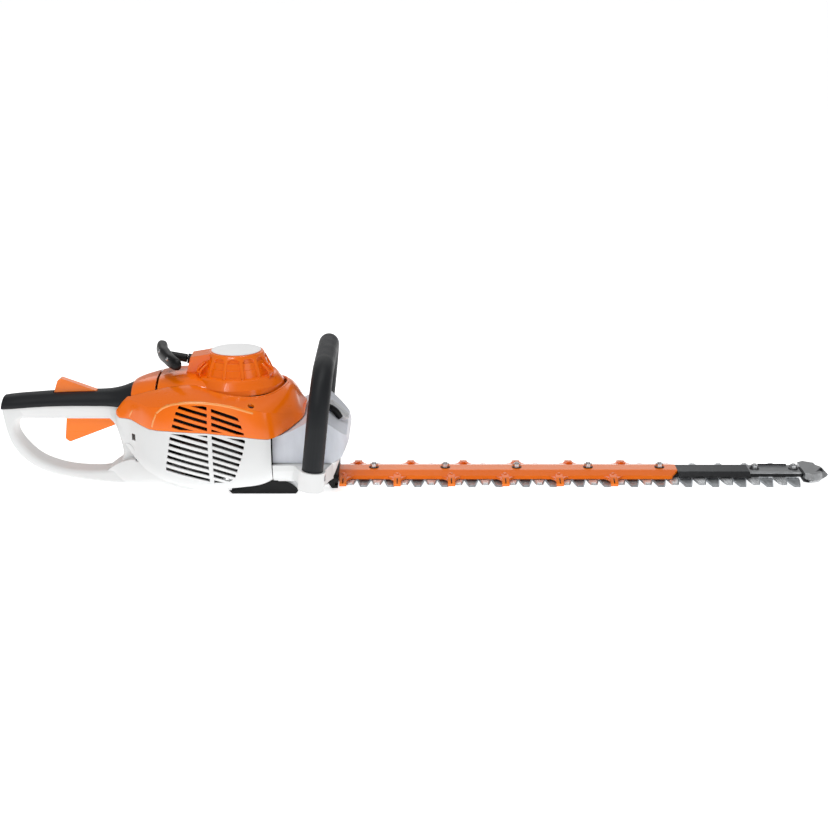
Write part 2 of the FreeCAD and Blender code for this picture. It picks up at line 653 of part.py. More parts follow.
def grip_cover():
    """Black upper half of the rear grip, with a slot for the lock lever."""
    wires = []
    for x, top, foot, half in ((-331, 111.6, 98.4, 15.6), (-322, 113, 99, 17),
                               (-290, 116, 101.5, 17.6), (-265, 117.8, 103, 18),
                               (-214, 119.6, 103.4, 18), (-192, 121, 103.1, 19),
                               (-176, 125, 102.4, 23), (-160, 132, 102, 28)):
        arch = spline([(x, -half, foot), (x, -0.93 * half, 0.4 * foot + 0.6 * top),
                       (x, -0.6 * half, 0.1 * foot + 0.9 * top), (x, 0, top),
                       (x, 0.6 * half, 0.1 * foot + 0.9 * top),
                       (x, 0.93 * half, 0.4 * foot + 0.6 * top), (x, half, foot)])
        wires.append(Part.Wire([arch, Part.makeLine(Vector(x, half, foot), Vector(x, -half, foot))]))
    grip = Part.makeLoft(wires, True, False)
    front = prism_xz([(-166.8, 50), (-164.8, 153), (-120, 153), (-120, 50)], 60)
    rear = prism_xz([(-329.6, 98), (-327.2, 112.6), (-325.8, 120), (-345, 120), (-345, 98)], 60)
    lever_way = Part.makeBox(55, 11.4, 40, Vector(-265.9, -5.7, 90))
    lever_room = Part.makeBox(10, 11.4, 27.8, Vector(-216, -5.7, 90))
    trigger_room = Part.makeBox(80, 14.4, 8, Vector(-266, -7.2, 96))
    ways = [front, rear, lever_way, lever_room, trigger_room]
    node("grip_cover", shaped(largest(grip.cut(ways))))


def throttle_controls():
    trigger = pad_body("XZ_Plane", [
        ("dims.trigger_x - 59.5", 84.5), ("dims.trigger_x - 62.5", 58), ("dims.trigger_x - 57", 53.8),
        ("dims.trigger_x + 1.5", 76.5), ("dims.trigger_x + 3.8", 89), ("dims.trigger_x", 93),
        ("dims.trigger_x - 6", 93), ("dims.trigger_x - 30", 90)], "2 * dims.trigger_half", both=True)
    round_edges(trigger, 3.2, lambda e: runs_along(e, Y_AXIS) and e.CenterOfMass.z < 60)
    pin_hole = rod(2.06, 40, ("dims.trigger_x", -20, "dims.trigger_z"), "Y")
    node("throttle_trigger", cut(trigger, pin_hole))
    lock = pad_body("XZ_Plane", [
        ("dims.lock_x - 53.5", 110), ("dims.lock_x - 53", 119), ("dims.lock_x - 48.5", 132.5),
        ("dims.lock_x - 44", 135.5), ("dims.lock_x - 1.5", 119.8), ("dims.lock_x + 2.4", 114),
        ("dims.lock_x + 2.4", 107)], 10, both=True)
    round_edges(lock, 2.2, lambda e: runs_along(e, Y_AXIS) and e.CenterOfMass.z > 130)
    lock_hole = rod(2.06, 40, ("dims.lock_x", -20, "dims.lock_z"), "Y")
    node("throttle_lock", cut(lock, lock_hole))
    node("lever_pins", group(
        rod(2, "2 * dims.trigger_half + 1.2", ("dims.trigger_x", "-dims.trigger_half - 0.6",
                                               "dims.trigger_z"), "Y"),
        rod(2, 11, ("dims.lock_x", -5.5, "dims.lock_z"), "Y")))


# ---------------------------------------------------------------- front handle
def front_handle():
    """Bent tube that leans forward, one leg in each socket of the front base."""
    foot_x, foot_z = size("handle_foot_x"), size("handle_foot_z")
    half, bend = size("handle_half"), size("handle_bend")
    lean = math.radians(size("handle_lean"))
    up = Vector(math.sin(lean), 0, math.cos(lean))
    rise = (size("handle_crest") - foot_z) / math.cos(lean)
    start = Vector(foot_x, -half, foot_z)

    def spot(y, s):
        return Vector(start.x, y, start.z) + up * s
    k = 1 - math.sqrt(0.5)
    near = [spot(-half, rise - bend), spot(-half + k * bend, rise - k * bend),
            spot(-half + bend, rise)]
    far = [Vector(p.x, -p.y, p.z) for p in reversed(near)]
    path = Part.Wire([
        Part.makeLine(start, near[0]), Part.Arc(*near).toShape(),
        Part.makeLine(near[2], far[0]), Part.Arc(*far).toShape(),
        Part.makeLine(far[2], Vector(start.x, half, start.z))])
    tubes = []
    for radius in (size("handle_tube") - 0.05, size("handle_bore")):
        circle = Part.Wire([Part.makeCircle(radius, start, up)])
        tubes.append(path.makePipeShell([circle], True, True))
    handle = tubes[0].cut(tubes[1])
    for side in (-1, 1):
        hole = Vector(foot_x + 1, side * half, 43)
        handle = handle.cut(Part.makeCylinder(2.6, 30, hole, X_AXIS))
    node("front_handle", shaped(handle))


def housing_screws():
    """Screws of the engine cover, of the front handle's sockets and of the bar mount."""
    screws = []
    for side in (-1, 1):
        x, y, top = SHROUD_SCREW
        screws.append(rod(3.6, 6, (x, side * y, top - 6)))
        leg = f"{side} * dims.handle_half"
        screws.append(fuse(rod(2.5, 9, ("dims.handle_foot_x + 7", leg, 43), "X"),
                           rod(4.5, 1.6, ("dims.handle_foot_x + 15.4", leg, 43), "X")))
        screws.append(fuse(rod(2, 10.2, (82, side * 11, 10.8)), rod(3.8, 2, (82, side * 11, 20.6))))
    node("housing_screws", group(*screws))


# ---------------------------------------------------------------- cutter bar
def bolt_places():
    first, pitch = size("bolt_first"), size("bolt_pitch")
    return [first + pitch * i for i in range(5)] + [612, 661]


def blade(label, first_tooth, under, pin_foot, pin_top):
    """A flat core with ground teeth, a slot at each bolt and a riveted drive pin."""
    half, reach, thick = size("blade_half"), size("tooth_reach"), size("blade_thick")
    tail, tip, pitch = size("blade_tail"), size("blade_tip"), size("tooth_pitch")
    root, end = size("tooth_root") / 2, size("tooth_end") / 2
    core = Part.makeBox(tip - tail - 14, 2 * half, thick, Vector(tail + 14, -half, under))
    tongue = Part.makeBox(16, 18, thick, Vector(tail, -9, under))
    teeth = []
    bevel = 1.5
    for i in range(int(size("tooth_count"))):
        x = first_tooth + pitch * i
        for side in (-1, 1):
            rings = []
            for z, b in ((under, 0), (under + thick, bevel)):
                flank = [(x - root, half - 1), (x - root + b, half - 1), (x - end - 2 + b, reach - 9),
                         (x - end + b, reach - b), (x + end - b, reach - b),
                         (x + end + 2 - b, reach - 9), (x + root - b, half - 1)]
                flank = flank[1:] if b else flank[:1] + flank[2:]
                corners = [Vector(u, side * v, z) for u, v in flank]
                rings.append(Part.makePolygon(corners + corners[:1]))
            teeth.append(Part.makeLoft(rings, True, True))
    metal = core.fuse([tongue] + teeth)
    slot = 9.0 + size("stroke")
    for x in bolt_places():
        metal = metal.cut(Part.makeBox(slot - 9, 9, 10, Vector(x - slot / 2 + 4.5, -4.5, under - 3)))
        for end_x in (x - slot / 2 + 4.5, x + slot / 2 - 4.5):
            metal = metal.cut(Part.makeCylinder(4.5, 10, Vector(end_x, 0, under - 3)))
    pin = Part.makeCylinder(2.95, pin_top - pin_foot, Vector(size("blade_pin_x"), 0, pin_foot))
    node(label, shaped(metal.fuse(pin).removeSplitter()))


def guide_bar():
    bar = pad_body("XY_Plane", [
        ("dims.bar_start", "-dims.bar_half"), ("dims.bar_end - 8", "-dims.bar_half"),
        ("dims.bar_end", "-dims.bar_half + 8"), ("dims.bar_end", "dims.bar_half - 8"),
        ("dims.bar_end - 8", "dims.bar_half"), ("dims.bar_start", "dims.bar_half")],
        "dims.bar_thick", offset="dims.bar_under")
    round_edges(bar, 0.8, lambda e: runs_along(e, X_AXIS) and e.CenterOfMass.z > 12)
    holes = [rod(2.6, 20, (x, 0, 5)) for x in bolt_places()]
    holes += [rod(2.1, 20, (82, side * 11, 5)) for side in (-1, 1)]
    node("guide_bar", cut(fuse(bar, bar_ridge()), *holes))


def bar_ridge():
    """The raised stiffener of the bar between the finger guard and the tip plate."""
    start, end = size("guard_end") + 0.4, size("tip_start") - 0.4
    under = size("bar_under")
    section = [(-22, under + 0.4), (-22, 13.2), (-13, 17.2), (13, 17.2), (22, 13.2),
               (22, under + 0.4), (20.6, under + 0.4), (20.6, 12), (15.5, 13.9), (-15.5, 13.9),
               (-20.6, 12), (-20.6, under + 0.4)]
    corners = [Vector(start, y, z) for y, z in section]
    face = Part.Face(Part.makePolygon(corners + corners[:1]))
    return shaped(face.extrude(Vector(end - start, 0, 0)))


def finger_guard():
    """Orange comb over the bar: sloping flanks, and fingers that reach past the teeth."""
    start, end, top = size("guard_start"), size("guard_end"), size("guard_top")
    under = size("bar_under") + size("bar_thick")
    reach, wide = size("finger_reach"), size("finger_wide")
    section = [(-27, 11), (-24.5, 15), (-11, top - 0.3), (-9, top), (9, top), (11, top - 0.3),
               (24.5, 15), (27, 11), (24.8, 11), (22.5, 13.4), (17, under + 0.05),
               (-17, under + 0.05), (-22.5, 13.4), (-24.8, 11)]
    corners = [Vector(start, y, z) for y, z in section]
    body = Part.Face(Part.makePolygon(corners + corners[:1])).extrude(Vector(end - start, 0, 0))
    for side in (-1, 1):
        spots = [(end - 10, side * 28), (end, side * 12), (end + 6, side * 12), (end + 6, side * 28)]
        corners = [Vector(u, v, 0) for u, v in spots + spots[:1]]
        body = body.cut(Part.Face(Part.makePolygon(corners)).extrude(Vector(0, 0, 40)))
    fingers = []
    for side, shift in ((-1, 0), (1, 16.8)):
        for i in range(6):
            x = size("finger_first") + shift + 2 * size("tooth_pitch") * i
            fingers.append(finger(x, side, wide, reach))
    guard = body.fuse(fingers).common(Part.makeBox(600, 200, 60, Vector(start, -100, 0)))
    for x in bolt_places()[:5]:
        guard = guard.cut(Part.makeCylinder(2.7, 30, Vector(x, 0, 0)))
    node("finger_guard", shaped(guard.removeSplitter()))


def finger(x, side, wide, reach):
    """One finger: a root web that flares to the flank, a flat top and a turned-down lip."""
    side_view = [(22, 11.2), (22, 16.4), (26, 17), (34, 16), (reach - 2, 13.6), (reach, 12),
                 (reach, 8.6), (reach - 3.2, 8.6), (reach - 3.6, 10.9), (26, 10.9)]
    corners = [Vector(x - wide / 2, side * y, z) for y, z in side_view]
    blade_like = Part.Face(Part.makePolygon(corners + corners[:1])).extrude(Vector(wide, 0, 0))
    flare = []
    for y, half in ((24, wide / 2 + 9), (27.5, wide / 2 + 5), (31, wide / 2 + 2), (36, wide / 2)):
        flare.append((y, half))
    spots = [(x - h, side * y) for y, h in flare] + [(x + h, side * y) for y, h in reversed(flare)]
    web = Part.Face(Part.makePolygon([Vector(u, v, 11) for u, v in spots + spots[:1]]))
    nub = Part.makeCylinder(2.2, 4, Vector(x, side * 23, 14))
    return blade_like.fuse([web.extrude(Vector(0, 0, 3.4)), nub])


def bar_hardware():
    guard_top = "dims.guard_top"
    bolts, nuts, spacers = [], [], []
    for i, x in enumerate(bolt_places()):
        seat = guard_top if i < 5 else "dims.bar_under + dims.bar_thick + 2.1"
        bolts.append(fuse(rod(2.45, f"{seat} + 1.6", (x, 0, 4.8)),
                          rod(4.4, 1.6, (x, 0, 2.2)), rod(6.6, 1.0, (x, 0, 3.8))))
        nuts.append(cut(hex_prism(4.9, 4.2, (x, 0, f"{seat} + 0.7")),
                        rod(2.5, 20, (x, 0, 10))))
        nuts.append(cut(rod(6.2, 0.6, (x, 0, f"{seat} + 0.05")), rod(2.5, 20, (x, 0, 10))))
        spacers.append(ring(4.2, 2.5, 5.6, (x, 0, 4.95)))
    node("bar_bolts", group(*bolts))
    node("bar_nuts", group(*nuts))
    node("bar_spacers", group(*spacers))


def hex_prism(radius, height, at):
    item = bind(doc.addObject("Part::Prism", "hex"), Circumradius=radius, Height=height)
    item.Polygon = 6
    return place(item, at)


def bar_mount():
    """Black block at the root of the bar; the bar and the blades pass through its slot."""
    shape = pad_body("XZ_Plane", [
        ("dims.bar_start - 0.8", 11), ("dims.bar_start - 0.8", 15), ("dims.bar_start + 5", 20.5),
        ("dims.guard_start - 0.4", 20.5), ("dims.guard_start - 0.4", 4),
        ("dims.bar_start + 4", 3.6)], 80, both=True)
    round_edges(shape, 5, lambda e: runs_along(e, X_AXIS))
    slot = block(40, 32.4, 9.0, (60, -16.2, 5.2))
    tooth_way = block(20, 100, 3.6, (84.2, -50, 7.5))
    holes = [rod(2.1, 20, (82, side * 11, 5)) for side in (-1, 1)]
    node("bar_mount", cut(shape, slot, tooth_way, *holes))


def tip_parts():
    """Plate bolted over the bar's front end, and the nose guard that it holds."""
    seat = "dims.bar_under + dims.bar_thick + 0.1"
    plate = pad_body("XY_Plane", [
        ("dims.tip_start", -15), ("dims.tip_start + 64", -15), ("dims.tip_start + 64", 15),
        ("dims.tip_start", 15)], 2, offset=seat)
    holes = [rod(2.6, 20, (x, 0, 5)) for x in bolt_places()[5:]]
    rib = block(36, 3, 4.2, (618.5, 10.5, 14.1))
    step = block(52, 7, 1, (606, -14, 16))
    node("tip_plate", cut(fuse(plate, rib, step), *holes))
    levels = ((4.2, 22, 699), (9.5, 31, 705), (17.5, 28, 697))
    body = Part.makeLoft([nose_outline(*level) for level in levels], True, True)
    bar_slot = Part.makeBox(12, 32.4, 3.7, Vector(665, -16.2, 10.5))
    tooth_way = Part.makeBox(12, 100, 5.7, Vector(665, -50, 4.9))
    corners = [Vector(x, y, 11) for x, y in ((685, -17), (698, -8), (698, 5), (685, -17))]
    hollow = Part.Face(Part.makePolygon(corners)).extrude(Vector(0, 0, 20))
    node("nose_guard", shaped(largest(body.cut([bar_slot, tooth_way, hollow]))))


def nose_outline(z, half, tip):
    """A level of the nose guard, seen from above."""
    side = [(671, 0.8 * half), (679, half), (691, 0.74 * half), (tip - 5, 0.42 * half), (tip, 4)]
    spots = side + [(x, -y) for x, y in reversed(side)]
    return Part.makePolygon([Vector(x, y, z) for x, y in spots + spots[:1]])


# ---------------------------------------------------------------- engine
def involute_gear(teeth, module, thick, phase, backlash=0.12, pressure=25.0):
    """A spur gear about Z; each flank is one arc through three points of the involute."""
    pitch_r = teeth * module / 2
    base_r = pitch_r * math.cos(math.radians(pressure))
    tip_r, root_r = pitch_r + 0.95 * module, pitch_r - 1.2 * module

    def turn(radius):
        roll = math.sqrt(max(radius ** 2 / base_r ** 2 - 1, 0))
        return roll - math.atan(roll)
    half_tooth = math.pi / (2 * teeth) - backlash / (2 * pitch_r) + turn(pitch_r)
    low_r = max(base_r, root_r)
    foot = half_tooth - turn(low_r)

    def spot(radius, angle):
        return Vector(radius * math.cos(angle), radius * math.sin(angle), 0)
    edges = []
    for i in range(teeth):
        mid = phase + 2 * math.pi * i / teeth
        radii = (low_r, (low_r + tip_r) / 2, tip_r)
        rise = [spot(r, mid - half_tooth + turn(r)) for r in radii]
        fall = [spot(r, mid + half_tooth - turn(r)) for r in reversed(radii)]
        after = spot(low_r, mid + 2 * math.pi / teeth - foot)
        rooted = [spot(root_r, mid + foot), spot(root_r, mid + math.pi / teeth),
                  spot(root_r, mid + 2 * math.pi / teeth - foot)]
        edges += [Part.Arc(*rise).toShape(), Part.Arc(rise[2], spot(tip_r, mid), fall[0]).toShape(),
                  Part.Arc(*fall).toShape()]
        if low_r > root_r + 1e-6:
            edges.append(Part.makeLine(fall[2], rooted[0]))
        edges.append(Part.Arc(*rooted).toShape())
        if low_r > root_r + 1e-6:
            edges.append(Part.makeLine(rooted[2], after))
    return Part.Face(Part.Wire(edges)).extrude(Vector(0, 0, thick))


def gear_train():
    """Drive gear with its two eccentrics, pinion with the clutch drum, and the blade rods."""
    module, under, thick = size("gear_module"), size("gear_under"), size("gear_thick")
    gear_x, crank = size("gear_x"), size("crank_x")
    offset, cam = size("stroke") / 2, size("cam_radius")
    wheel = involute_gear(int(size("gear_teeth")), module, thick, math.pi / size("gear_teeth"))
    wheel.translate(Vector(gear_x, 0, under))
    shaft = Part.makeCylinder(5, 16.5, Vector(gear_x, 0, 13))
    core = Part.makeCylinder(3, 12, Vector(gear_x, 0, 3.5))
    cams = [Part.makeCylinder(cam, 2.4, Vector(gear_x, offset, 10.6)),
            Part.makeCylinder(cam, 2, Vector(gear_x, -offset, 3.5)),
            Part.makeCylinder(9, 1.6, Vector(gear_x, 0, 13))]
    holes = [Part.makeCylinder(7, 30, Vector(gear_x + 27 * math.cos(a), 27 * math.sin(a), 14))
             for a in (i * math.pi / 3 for i in range(6))]
    node("drive_gear", shaped(wheel.cut(holes).fuse([shaft, core] + cams)))
    pinion = involute_gear(int(size("pinion_teeth")), module, thick + 1, 0.0)
    pinion.translate(Vector(crank, 0, under - 0.5))
    stem = Part.makeCylinder(5, 11, Vector(crank, 0, 22.5))
    node("drive_pinion", shaped(pinion.fuse(stem)))
    drum = turned_body([(0, 33.6), (25, 33.6), (25, 48), (23, 48), (23, 35.6), (0, 35.6)],
                       x="dims.crank_x")
    node("clutch_drum", drum)
    pin = size("blade_pin_x")
    for label, side, z in (("upper_rod", 1, 10.7), ("lower_rod", -1, 3.6)):
        eye = Vector(gear_x, side * offset, z)
        end = Vector(pin, 0, z)
        aim = (end - eye).normalize()
        reach = (end - eye).Length
        strap = Part.makeBox(reach, 8, 1.9, Vector(0, -4, 0))
        strap.Placement = Placement(eye, Rotation(X_AXIS, aim))
        body = Part.makeCylinder(cam + 3.5, 1.9, eye).fuse([strap, Part.makeCylinder(6, 1.9, end)])
        body = body.cut(Part.makeCylinder(cam + 0.06, 1.9, eye)).cut(Part.makeCylinder(3, 1.9, end))
        node(label, shaped(body))


def crank_assembly():
    """Crankshaft at top dead centre, clutch shoes, flywheel fan, piston and engine rod."""
    crank, throw, z = size("crank_x"), size("crank_throw"), size("cylinder_z")
    shaft = turned_body([
        (0, 36.4), (6, 36.4), (6, 65.6), (20, 65.6), (20, 70.6), (0, 70.6)], x="dims.crank_x")
    upper = turned_body([
        (0, 79.4), (20, 79.4), (20, 84.4), (6, 84.4), (6, 103), (5, 104), (5, 144), (0, 144)],
        x="dims.crank_x")
    pin = rod(4, 9.2, ("dims.crank_x - dims.crank_throw", 0, 70.4))
    node("crankshaft", fuse(shaft, upper, pin))
    shoes = []
    for side in (0, 180):
        shoe = turned_body([(8, 37.5), (22, 37.5), (22, 46), (8, 46)], x="dims.crank_x")
        gap = block(60, 6, 20, ("dims.crank_x - 30", -3, 32))
        half = block(60, 40, 20, ("dims.crank_x - 30", 0 if side else -40, 32))
        shoes.append(cut(shoe, gap, half))
    hub = ring(7.8, 6.02, 8.5, ("dims.crank_x", 0, 37.5))
    node("clutch_shoes", group(hub, *shoes))
    blades = []
    for i in range(14):
        fan = Part.makeBox(20.5, 1.6, 18, Vector(23, -0.8, 111))
        fan.rotate(Vector(), Z_AXIS, 360 * i / 14)
        fan.translate(Vector(crank, 0, 0))
        blades.append(fan)
    disc = spun([(5.05, 105), (43.5, 105), (43.5, 112), (21, 112), (19, 118), (5.05, 118)], crank)
    node("flywheel", shaped(disc.fuse(blades)))
    wrist = crank - throw - size("rod_length")
    piston = turned_body([
        (0, 15), ("dims.piston_radius - 0.04", 15), ("dims.piston_radius - 0.04", -12),
        ("dims.piston_radius - 2.8", -12), ("dims.piston_radius - 2.8", 11), (0, 11)],
        x="dims.crank_x - dims.crank_throw - dims.rod_length", z="dims.cylinder_z",
        rotation=Rotation(Y_AXIS, -90))
    pin_line = "dims.crank_x - dims.crank_throw - dims.rod_length"
    pin = rod(3.5, 29, (pin_line, 0, "dims.cylinder_z - 14.5"))
    node("piston", fuse(piston, pin))
    big, small = Vector(crank - throw, 0, z - 3.6), Vector(wrist, 0, z - 3.6)
    strap = Part.makeBox(big.x - small.x, 6, 7.2, Vector(small.x, -3, small.z))
    link = Part.makeCylinder(7.4, 7.2, big).fuse([strap, Part.makeCylinder(6.2, 7.2, small)])
    link = link.cut(Part.makeCylinder(4.05, 7.2, big)).cut(Part.makeCylinder(3.55, 7.2, small))
    node("piston_rod", shaped(link))


def engine_block():
    crank, z = size("crank_x"), size("cylinder_z")
    case = spun([(10, 52.5), (32, 52.5), (32, 98), (10, 98), (10, 88.6), (25, 88.6), (25, 61.6),
                 (10, 61.6)], crank)
    seat = Part.makeBox(14, 48, 44, Vector(crank - 33, -24, z - 22))
    seat = seat.cut(Part.makeCylinder(31.9, 60, Vector(crank, 0, 50)))
    bore = Part.makeCylinder(size("piston_radius") + 0.3, 44, Vector(crank - 44, 0, z), X_AXIS)
    case = case.fuse(seat).cut(bore.common(Part.makeBox(44, 60, 60, Vector(crank - 44, -30, 45))))
    legs = [Part.makeBox(14, 8, 36.5, Vector(crank - 7, side * 32 - 4, 26.5)) for side in (-1, 1)]
    case = case.fuse(legs)
    node("crankcase", shaped(largest(case)))
    bearings = [ring(9, 5.05, 5.6, (x, 0, 24.2)) for x in ("dims.gear_x", "dims.crank_x")]
    bearings += [ring(9.98, 6.05, 8, ("dims.crank_x", 0, low)) for low in (53, 89.4)]
    node("shaft_bearings", group(*bearings))
    head = -124.0
    barrel = Part.makeCylinder(20, 53.95, Vector(head, 0, z), X_AXIS)
    fins = [Part.makeCylinder(26.5, 1.6, Vector(x, 0, z), X_AXIS) for x in range(-116, -76, 5)]
    flange = Part.makeBox(4, 48, 44, Vector(crank - 37.05, -24, z - 22))
    ports = [Part.makeBox(18, 12, 18, Vector(-97, side, z - 16)) for side in (-29, 17)]
    boss = Part.makeBox(12, 16, 34, Vector(head, -8, z - 12))
    plug_seat = Part.makeCylinder(9, 8, Vector(-118, 0, z + 14))
    solid = barrel.fuse(fins + [flange, boss, plug_seat] + ports)
    bore_radius = size("piston_radius")
    solid = solid.cut(Part.makeCylinder(bore_radius, 60, Vector(-112, 0, z), X_AXIS))
    solid = solid.cut(Part.makeCylinder(6, 24, Vector(-88, -40, z - 7), Y_AXIS))
    solid = solid.cut(Part.makeCylinder(6, 24, Vector(-88, 16, z - 7), Y_AXIS))
    solid = solid.cut(Part.makeCylinder(4.02, 30, Vector(-118, 0, z + 13)))
    solid = solid.cut(Part.makeCylinder(7.6, 30, Vector(-118, 0, z + 22)))
    node("cylinder", shaped(largest(solid)))
    plug = turned_body([(0, 88.2), (4, 88.2), (4, 97.2), (6.5, 97.2), (6.5, 104), (4, 105),
                        (3.4, 119), (0, 119)], x="-118")
    node("spark_plug", plug)
    cap = turned_body([(4.2, 106), (7.5, 106), (7.5, 122), (5.5, 125.5), (0, 125.5), (0, 119.4),
                       (4.2, 119.4)], x="-118")
    node("plug_cap", cap)
    muffler = pad_body("XY_Plane", [(-100, -80), (-28, -80), (-28, -38), (-100, -38)], 40,
                       offset=34)
    round_edges(muffler, 7, lambda e: runs_along(e, Z_AXIS) or runs_along(e, X_AXIS))
    stub = rod(8, 10, (-88, -39, "dims.cylinder_z - 7"), "Y")
    stub_hole = rod(6, 14, (-88, -42, "dims.cylinder_z - 7"), "Y")
    node("muffler", cut(fuse(muffler, stub), stub_hole))


def intake():
    """Rubber manifold, carburettor, throttle valve, air duct and filter."""
    z = size("cylinder_z") - 7
    route = Part.Wire([
        Part.makeLine(Vector(-88, 29.2, z), Vector(-88, 36, z)),
        Part.Arc(Vector(-88, 36, z), Vector(-91.5, 44.5, z), Vector(-100, 48, z)).toShape(),
        Part.makeLine(Vector(-100, 48, z), Vector(-135, 48, z)),
        Part.Arc(Vector(-135, 48, z), Vector(-143.5, 44.5, z), Vector(-147, 36, z)).toShape(),
        Part.makeLine(Vector(-147, 36, z), Vector(-147, 18.4, z))])
    pipes = []
    for radius in (8, 6):
        profile = Part.Wire([Part.makeCircle(radius, Vector(-88, 29.2, z), Y_AXIS)])
        pipes.append(route.makePipeShell([profile], True, True))
    node("intake_manifold", shaped(pipes[0].cut(pipes[1])))
    body = block(26, 36, 28, (-160, -18, z - 14))
    venturi = rod(7, 60, (-147, -30, z), "Y")
    shaft_way = rod(1.55, 60, (-147, -6, z - 30))
    node("carburettor", cut(body, venturi, shaft_way))
    butterfly = rod(6.4, 1, (-147, -6.5, z), "Y")
    spindle = rod(1.5, 31, (-147, -6, z - 13))
    arm = block(14, 5, 1.6, (-149, -8.5, z + 15.4))
    node("throttle_valve", fuse(butterfly, spindle, arm))
    duct = Part.Wire([
        Part.makeLine(Vector(-147, -18.4, z), Vector(-147, -18.6, z)),
        Part.Arc(Vector(-147, -18.6, z), Vector(-147, -24.26, z + 2.34),
                 Vector(-147, -26.6, z + 8)).toShape(),
        Part.makeLine(Vector(-147, -26.6, z + 8), Vector(-147, -26.6, 103.8))])
    pipes = []
    for radius in (7.5, 6):
        profile = Part.Wire([Part.makeCircle(radius, Vector(-147, -18.4, z), Y_AXIS)])
        pipes.append(duct.makePipeShell([profile], True, True))
    node("air_duct", shaped(pipes[0].cut(pipes[1])))
    pleats = [block(1.6, 50, 4, (-156 + 4 * i, -25, 115)) for i in range(4)]
    node("air_filter", fuse(block(19, 56, 12, (-158, -28, 104)), *pleats))


def starter():
    """Rope pulley, wound rope, recoil spring, rope outlet bush, rope and grip."""
    pulley = turned_body([
        (5, 148.5), (31, 148.5), (31, 150), (25, 150.4), (25, 157.2), (31, 157.6), (31, 159),
        (5, 159)], x="dims.crank_x")
    node("starter_pulley", pulley)
    turns, thick, first, step = 5.0, 0.7, 9.0, 3.6
    spots = [(first + step * t, 2 * math.pi * t) for t in (i * turns / 60 for i in range(61))]
    crank = size("crank_x")

    def strip(shift):
        return [(crank + (r + shift) * math.cos(a), (r + shift) * math.sin(a), 160.3)
                for r, a in spots]
    inner, outer = spline(strip(0)), spline(strip(thick))
    ends = [Part.makeLine(inner.lastVertex().Point, outer.lastVertex().Point),
            Part.makeLine(outer.firstVertex().Point, inner.firstVertex().Point)]
    face = Part.Face(Part.Wire([inner, ends[0], outer, ends[1]]))
    node("recoil_spring", shaped(face.extrude(Vector(0, 0, 6))))
    along = rope_direction()
    tilt = Rotation(Z_AXIS, along)
    mouth = Vector(-92, 0, rope_height(-92))
    bush_at = mouth - along * 3
    node("rope_bush", cut(rod(6.1, 8, tuple(bush_at), tilt), rod(2.2, 8, tuple(bush_at), tilt)))
    rope_at = mouth - along * 17
    rope_length = 48
    node("starter_rope", rod("dims.rope_radius", rope_length, tuple(rope_at), tilt))
    neck_at = mouth + along * 5.6
    neck = rod(5, 20, tuple(neck_at), tilt)
    bar = starter_bar(mouth + along * 30)
    rope_hole = rod("dims.rope_radius + 0.4", rope_length, tuple(rope_at), tilt)
    node("starter_grip", cut(fuse(neck, bar), rope_hole))


def starter_bar(centre):
    """The pull bar: bowed and waisted, turned a little about the rope, thin at its far end."""
    wires = []
    for t in (-1, -0.9, -0.6, -0.2, 0.2, 0.6, 0.9, 1):
        y, round_off = 45 * t, 1 - 0.75 * t ** 16
        half_x, half_z = (5.6 - 1.2 * t) * round_off, (8.6 - 1.8 * t) * round_off
        hub = centre + Vector(5 * t * t - 16.4 * t, y, 2.6 * t)
        loop = [(hub.x + half_x * math.cos(a), y, hub.z + half_z * math.sin(a))
                for a in (2 * math.pi * i / 12 for i in range(12))]
        wires.append(Part.Wire([spline(loop, closed=True)]))
    return shaped(Part.makeLoft(wires, True, False))


def small_parts():
    """Ignition coil, rubber buffers and throttle cable."""
    node("ignition_coil", fuse(block(30, 20, 14, (-52, 47.6, 99)), rod(6, 12, (-37, 67.6, 106), "Y")))
    buffers = [rod(6, 14.5, (x, y, z)) for x, y, z in ((-95, 38, 16), (-95, -30, 16), (-150, 0, 35))]
    node("rubber_buffers", group(*buffers))
    z = size("cylinder_z") - 7 + 16.2
    route = [Vector(-184, 3.4, 96), Vector(-172, 3.4, 96), Vector(-162, 0, 94), Vector(-152, -6, z + 4)]
    pieces = []
    radius = 1.6
    for i in range(3):
        step = route[i + 1] - route[i]
        pieces.append(Part.makeCylinder(radius, step.Length, route[i], step))
        pieces.append(Part.makeSphere(radius, route[i]))
    pieces.append(Part.makeSphere(radius, route[3]))
    node("throttle_cable", shaped(pieces[0].fuse(pieces[1:])))


# ---------------------------------------------------------------- build and export
def build():
    engine_covers()
    service_parts()
    fuel_tank()
    fuel_cap()
    front_base()
    sole()
    gear_case()
    rear_handle()
    grip_cover()
    throttle_controls()
    front_handle()
    housing_screws()
    first, pitch = size("first_tooth"), size("tooth_pitch")
    blade("upper_blade", first, size("upper_blade_z"), 8.2, 12.6)
    blade("lower_blade", first + pitch / 2, size("lower_blade_z"), 3.6, 7.9)
    guide_bar()
    finger_guard()
    bar_hardware()
    bar_mount()
    tip_parts()
    gear_train()
    crank_assembly()
    engine_block()
    intake()
    starter()
    small_parts()


def export():
    doc.recompute()
    for item in doc.Objects:
        if "Invalid" in item.State or "Error" in item.State:
            raise RuntimeError(f"{item.Name} ({item.Label}) failed: {item.State}")
    for item in nodes:
        if item.Shape.isNull() or not item.Shape.isValid() or not item.Shape.Solids:
            raise RuntimeError(f"{item.Label} has no valid solid")
    os.makedirs("parts", exist_ok=True)
    for item in nodes:
        item.Shape.exportStep(f"parts/{item.Label}.step")
    print(len(nodes), "parts")


build()
export()
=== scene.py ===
"""Looks of the hedge trimmer: materials, detailed meshes, studio and camera.

Everything is in metres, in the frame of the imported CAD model: +X towards the tip of the
cutter bar, +Z up, -Y the side of the air grille. Pieces take their places from the boxes
of the CAD nodes and from the record.
"""
import json
import math

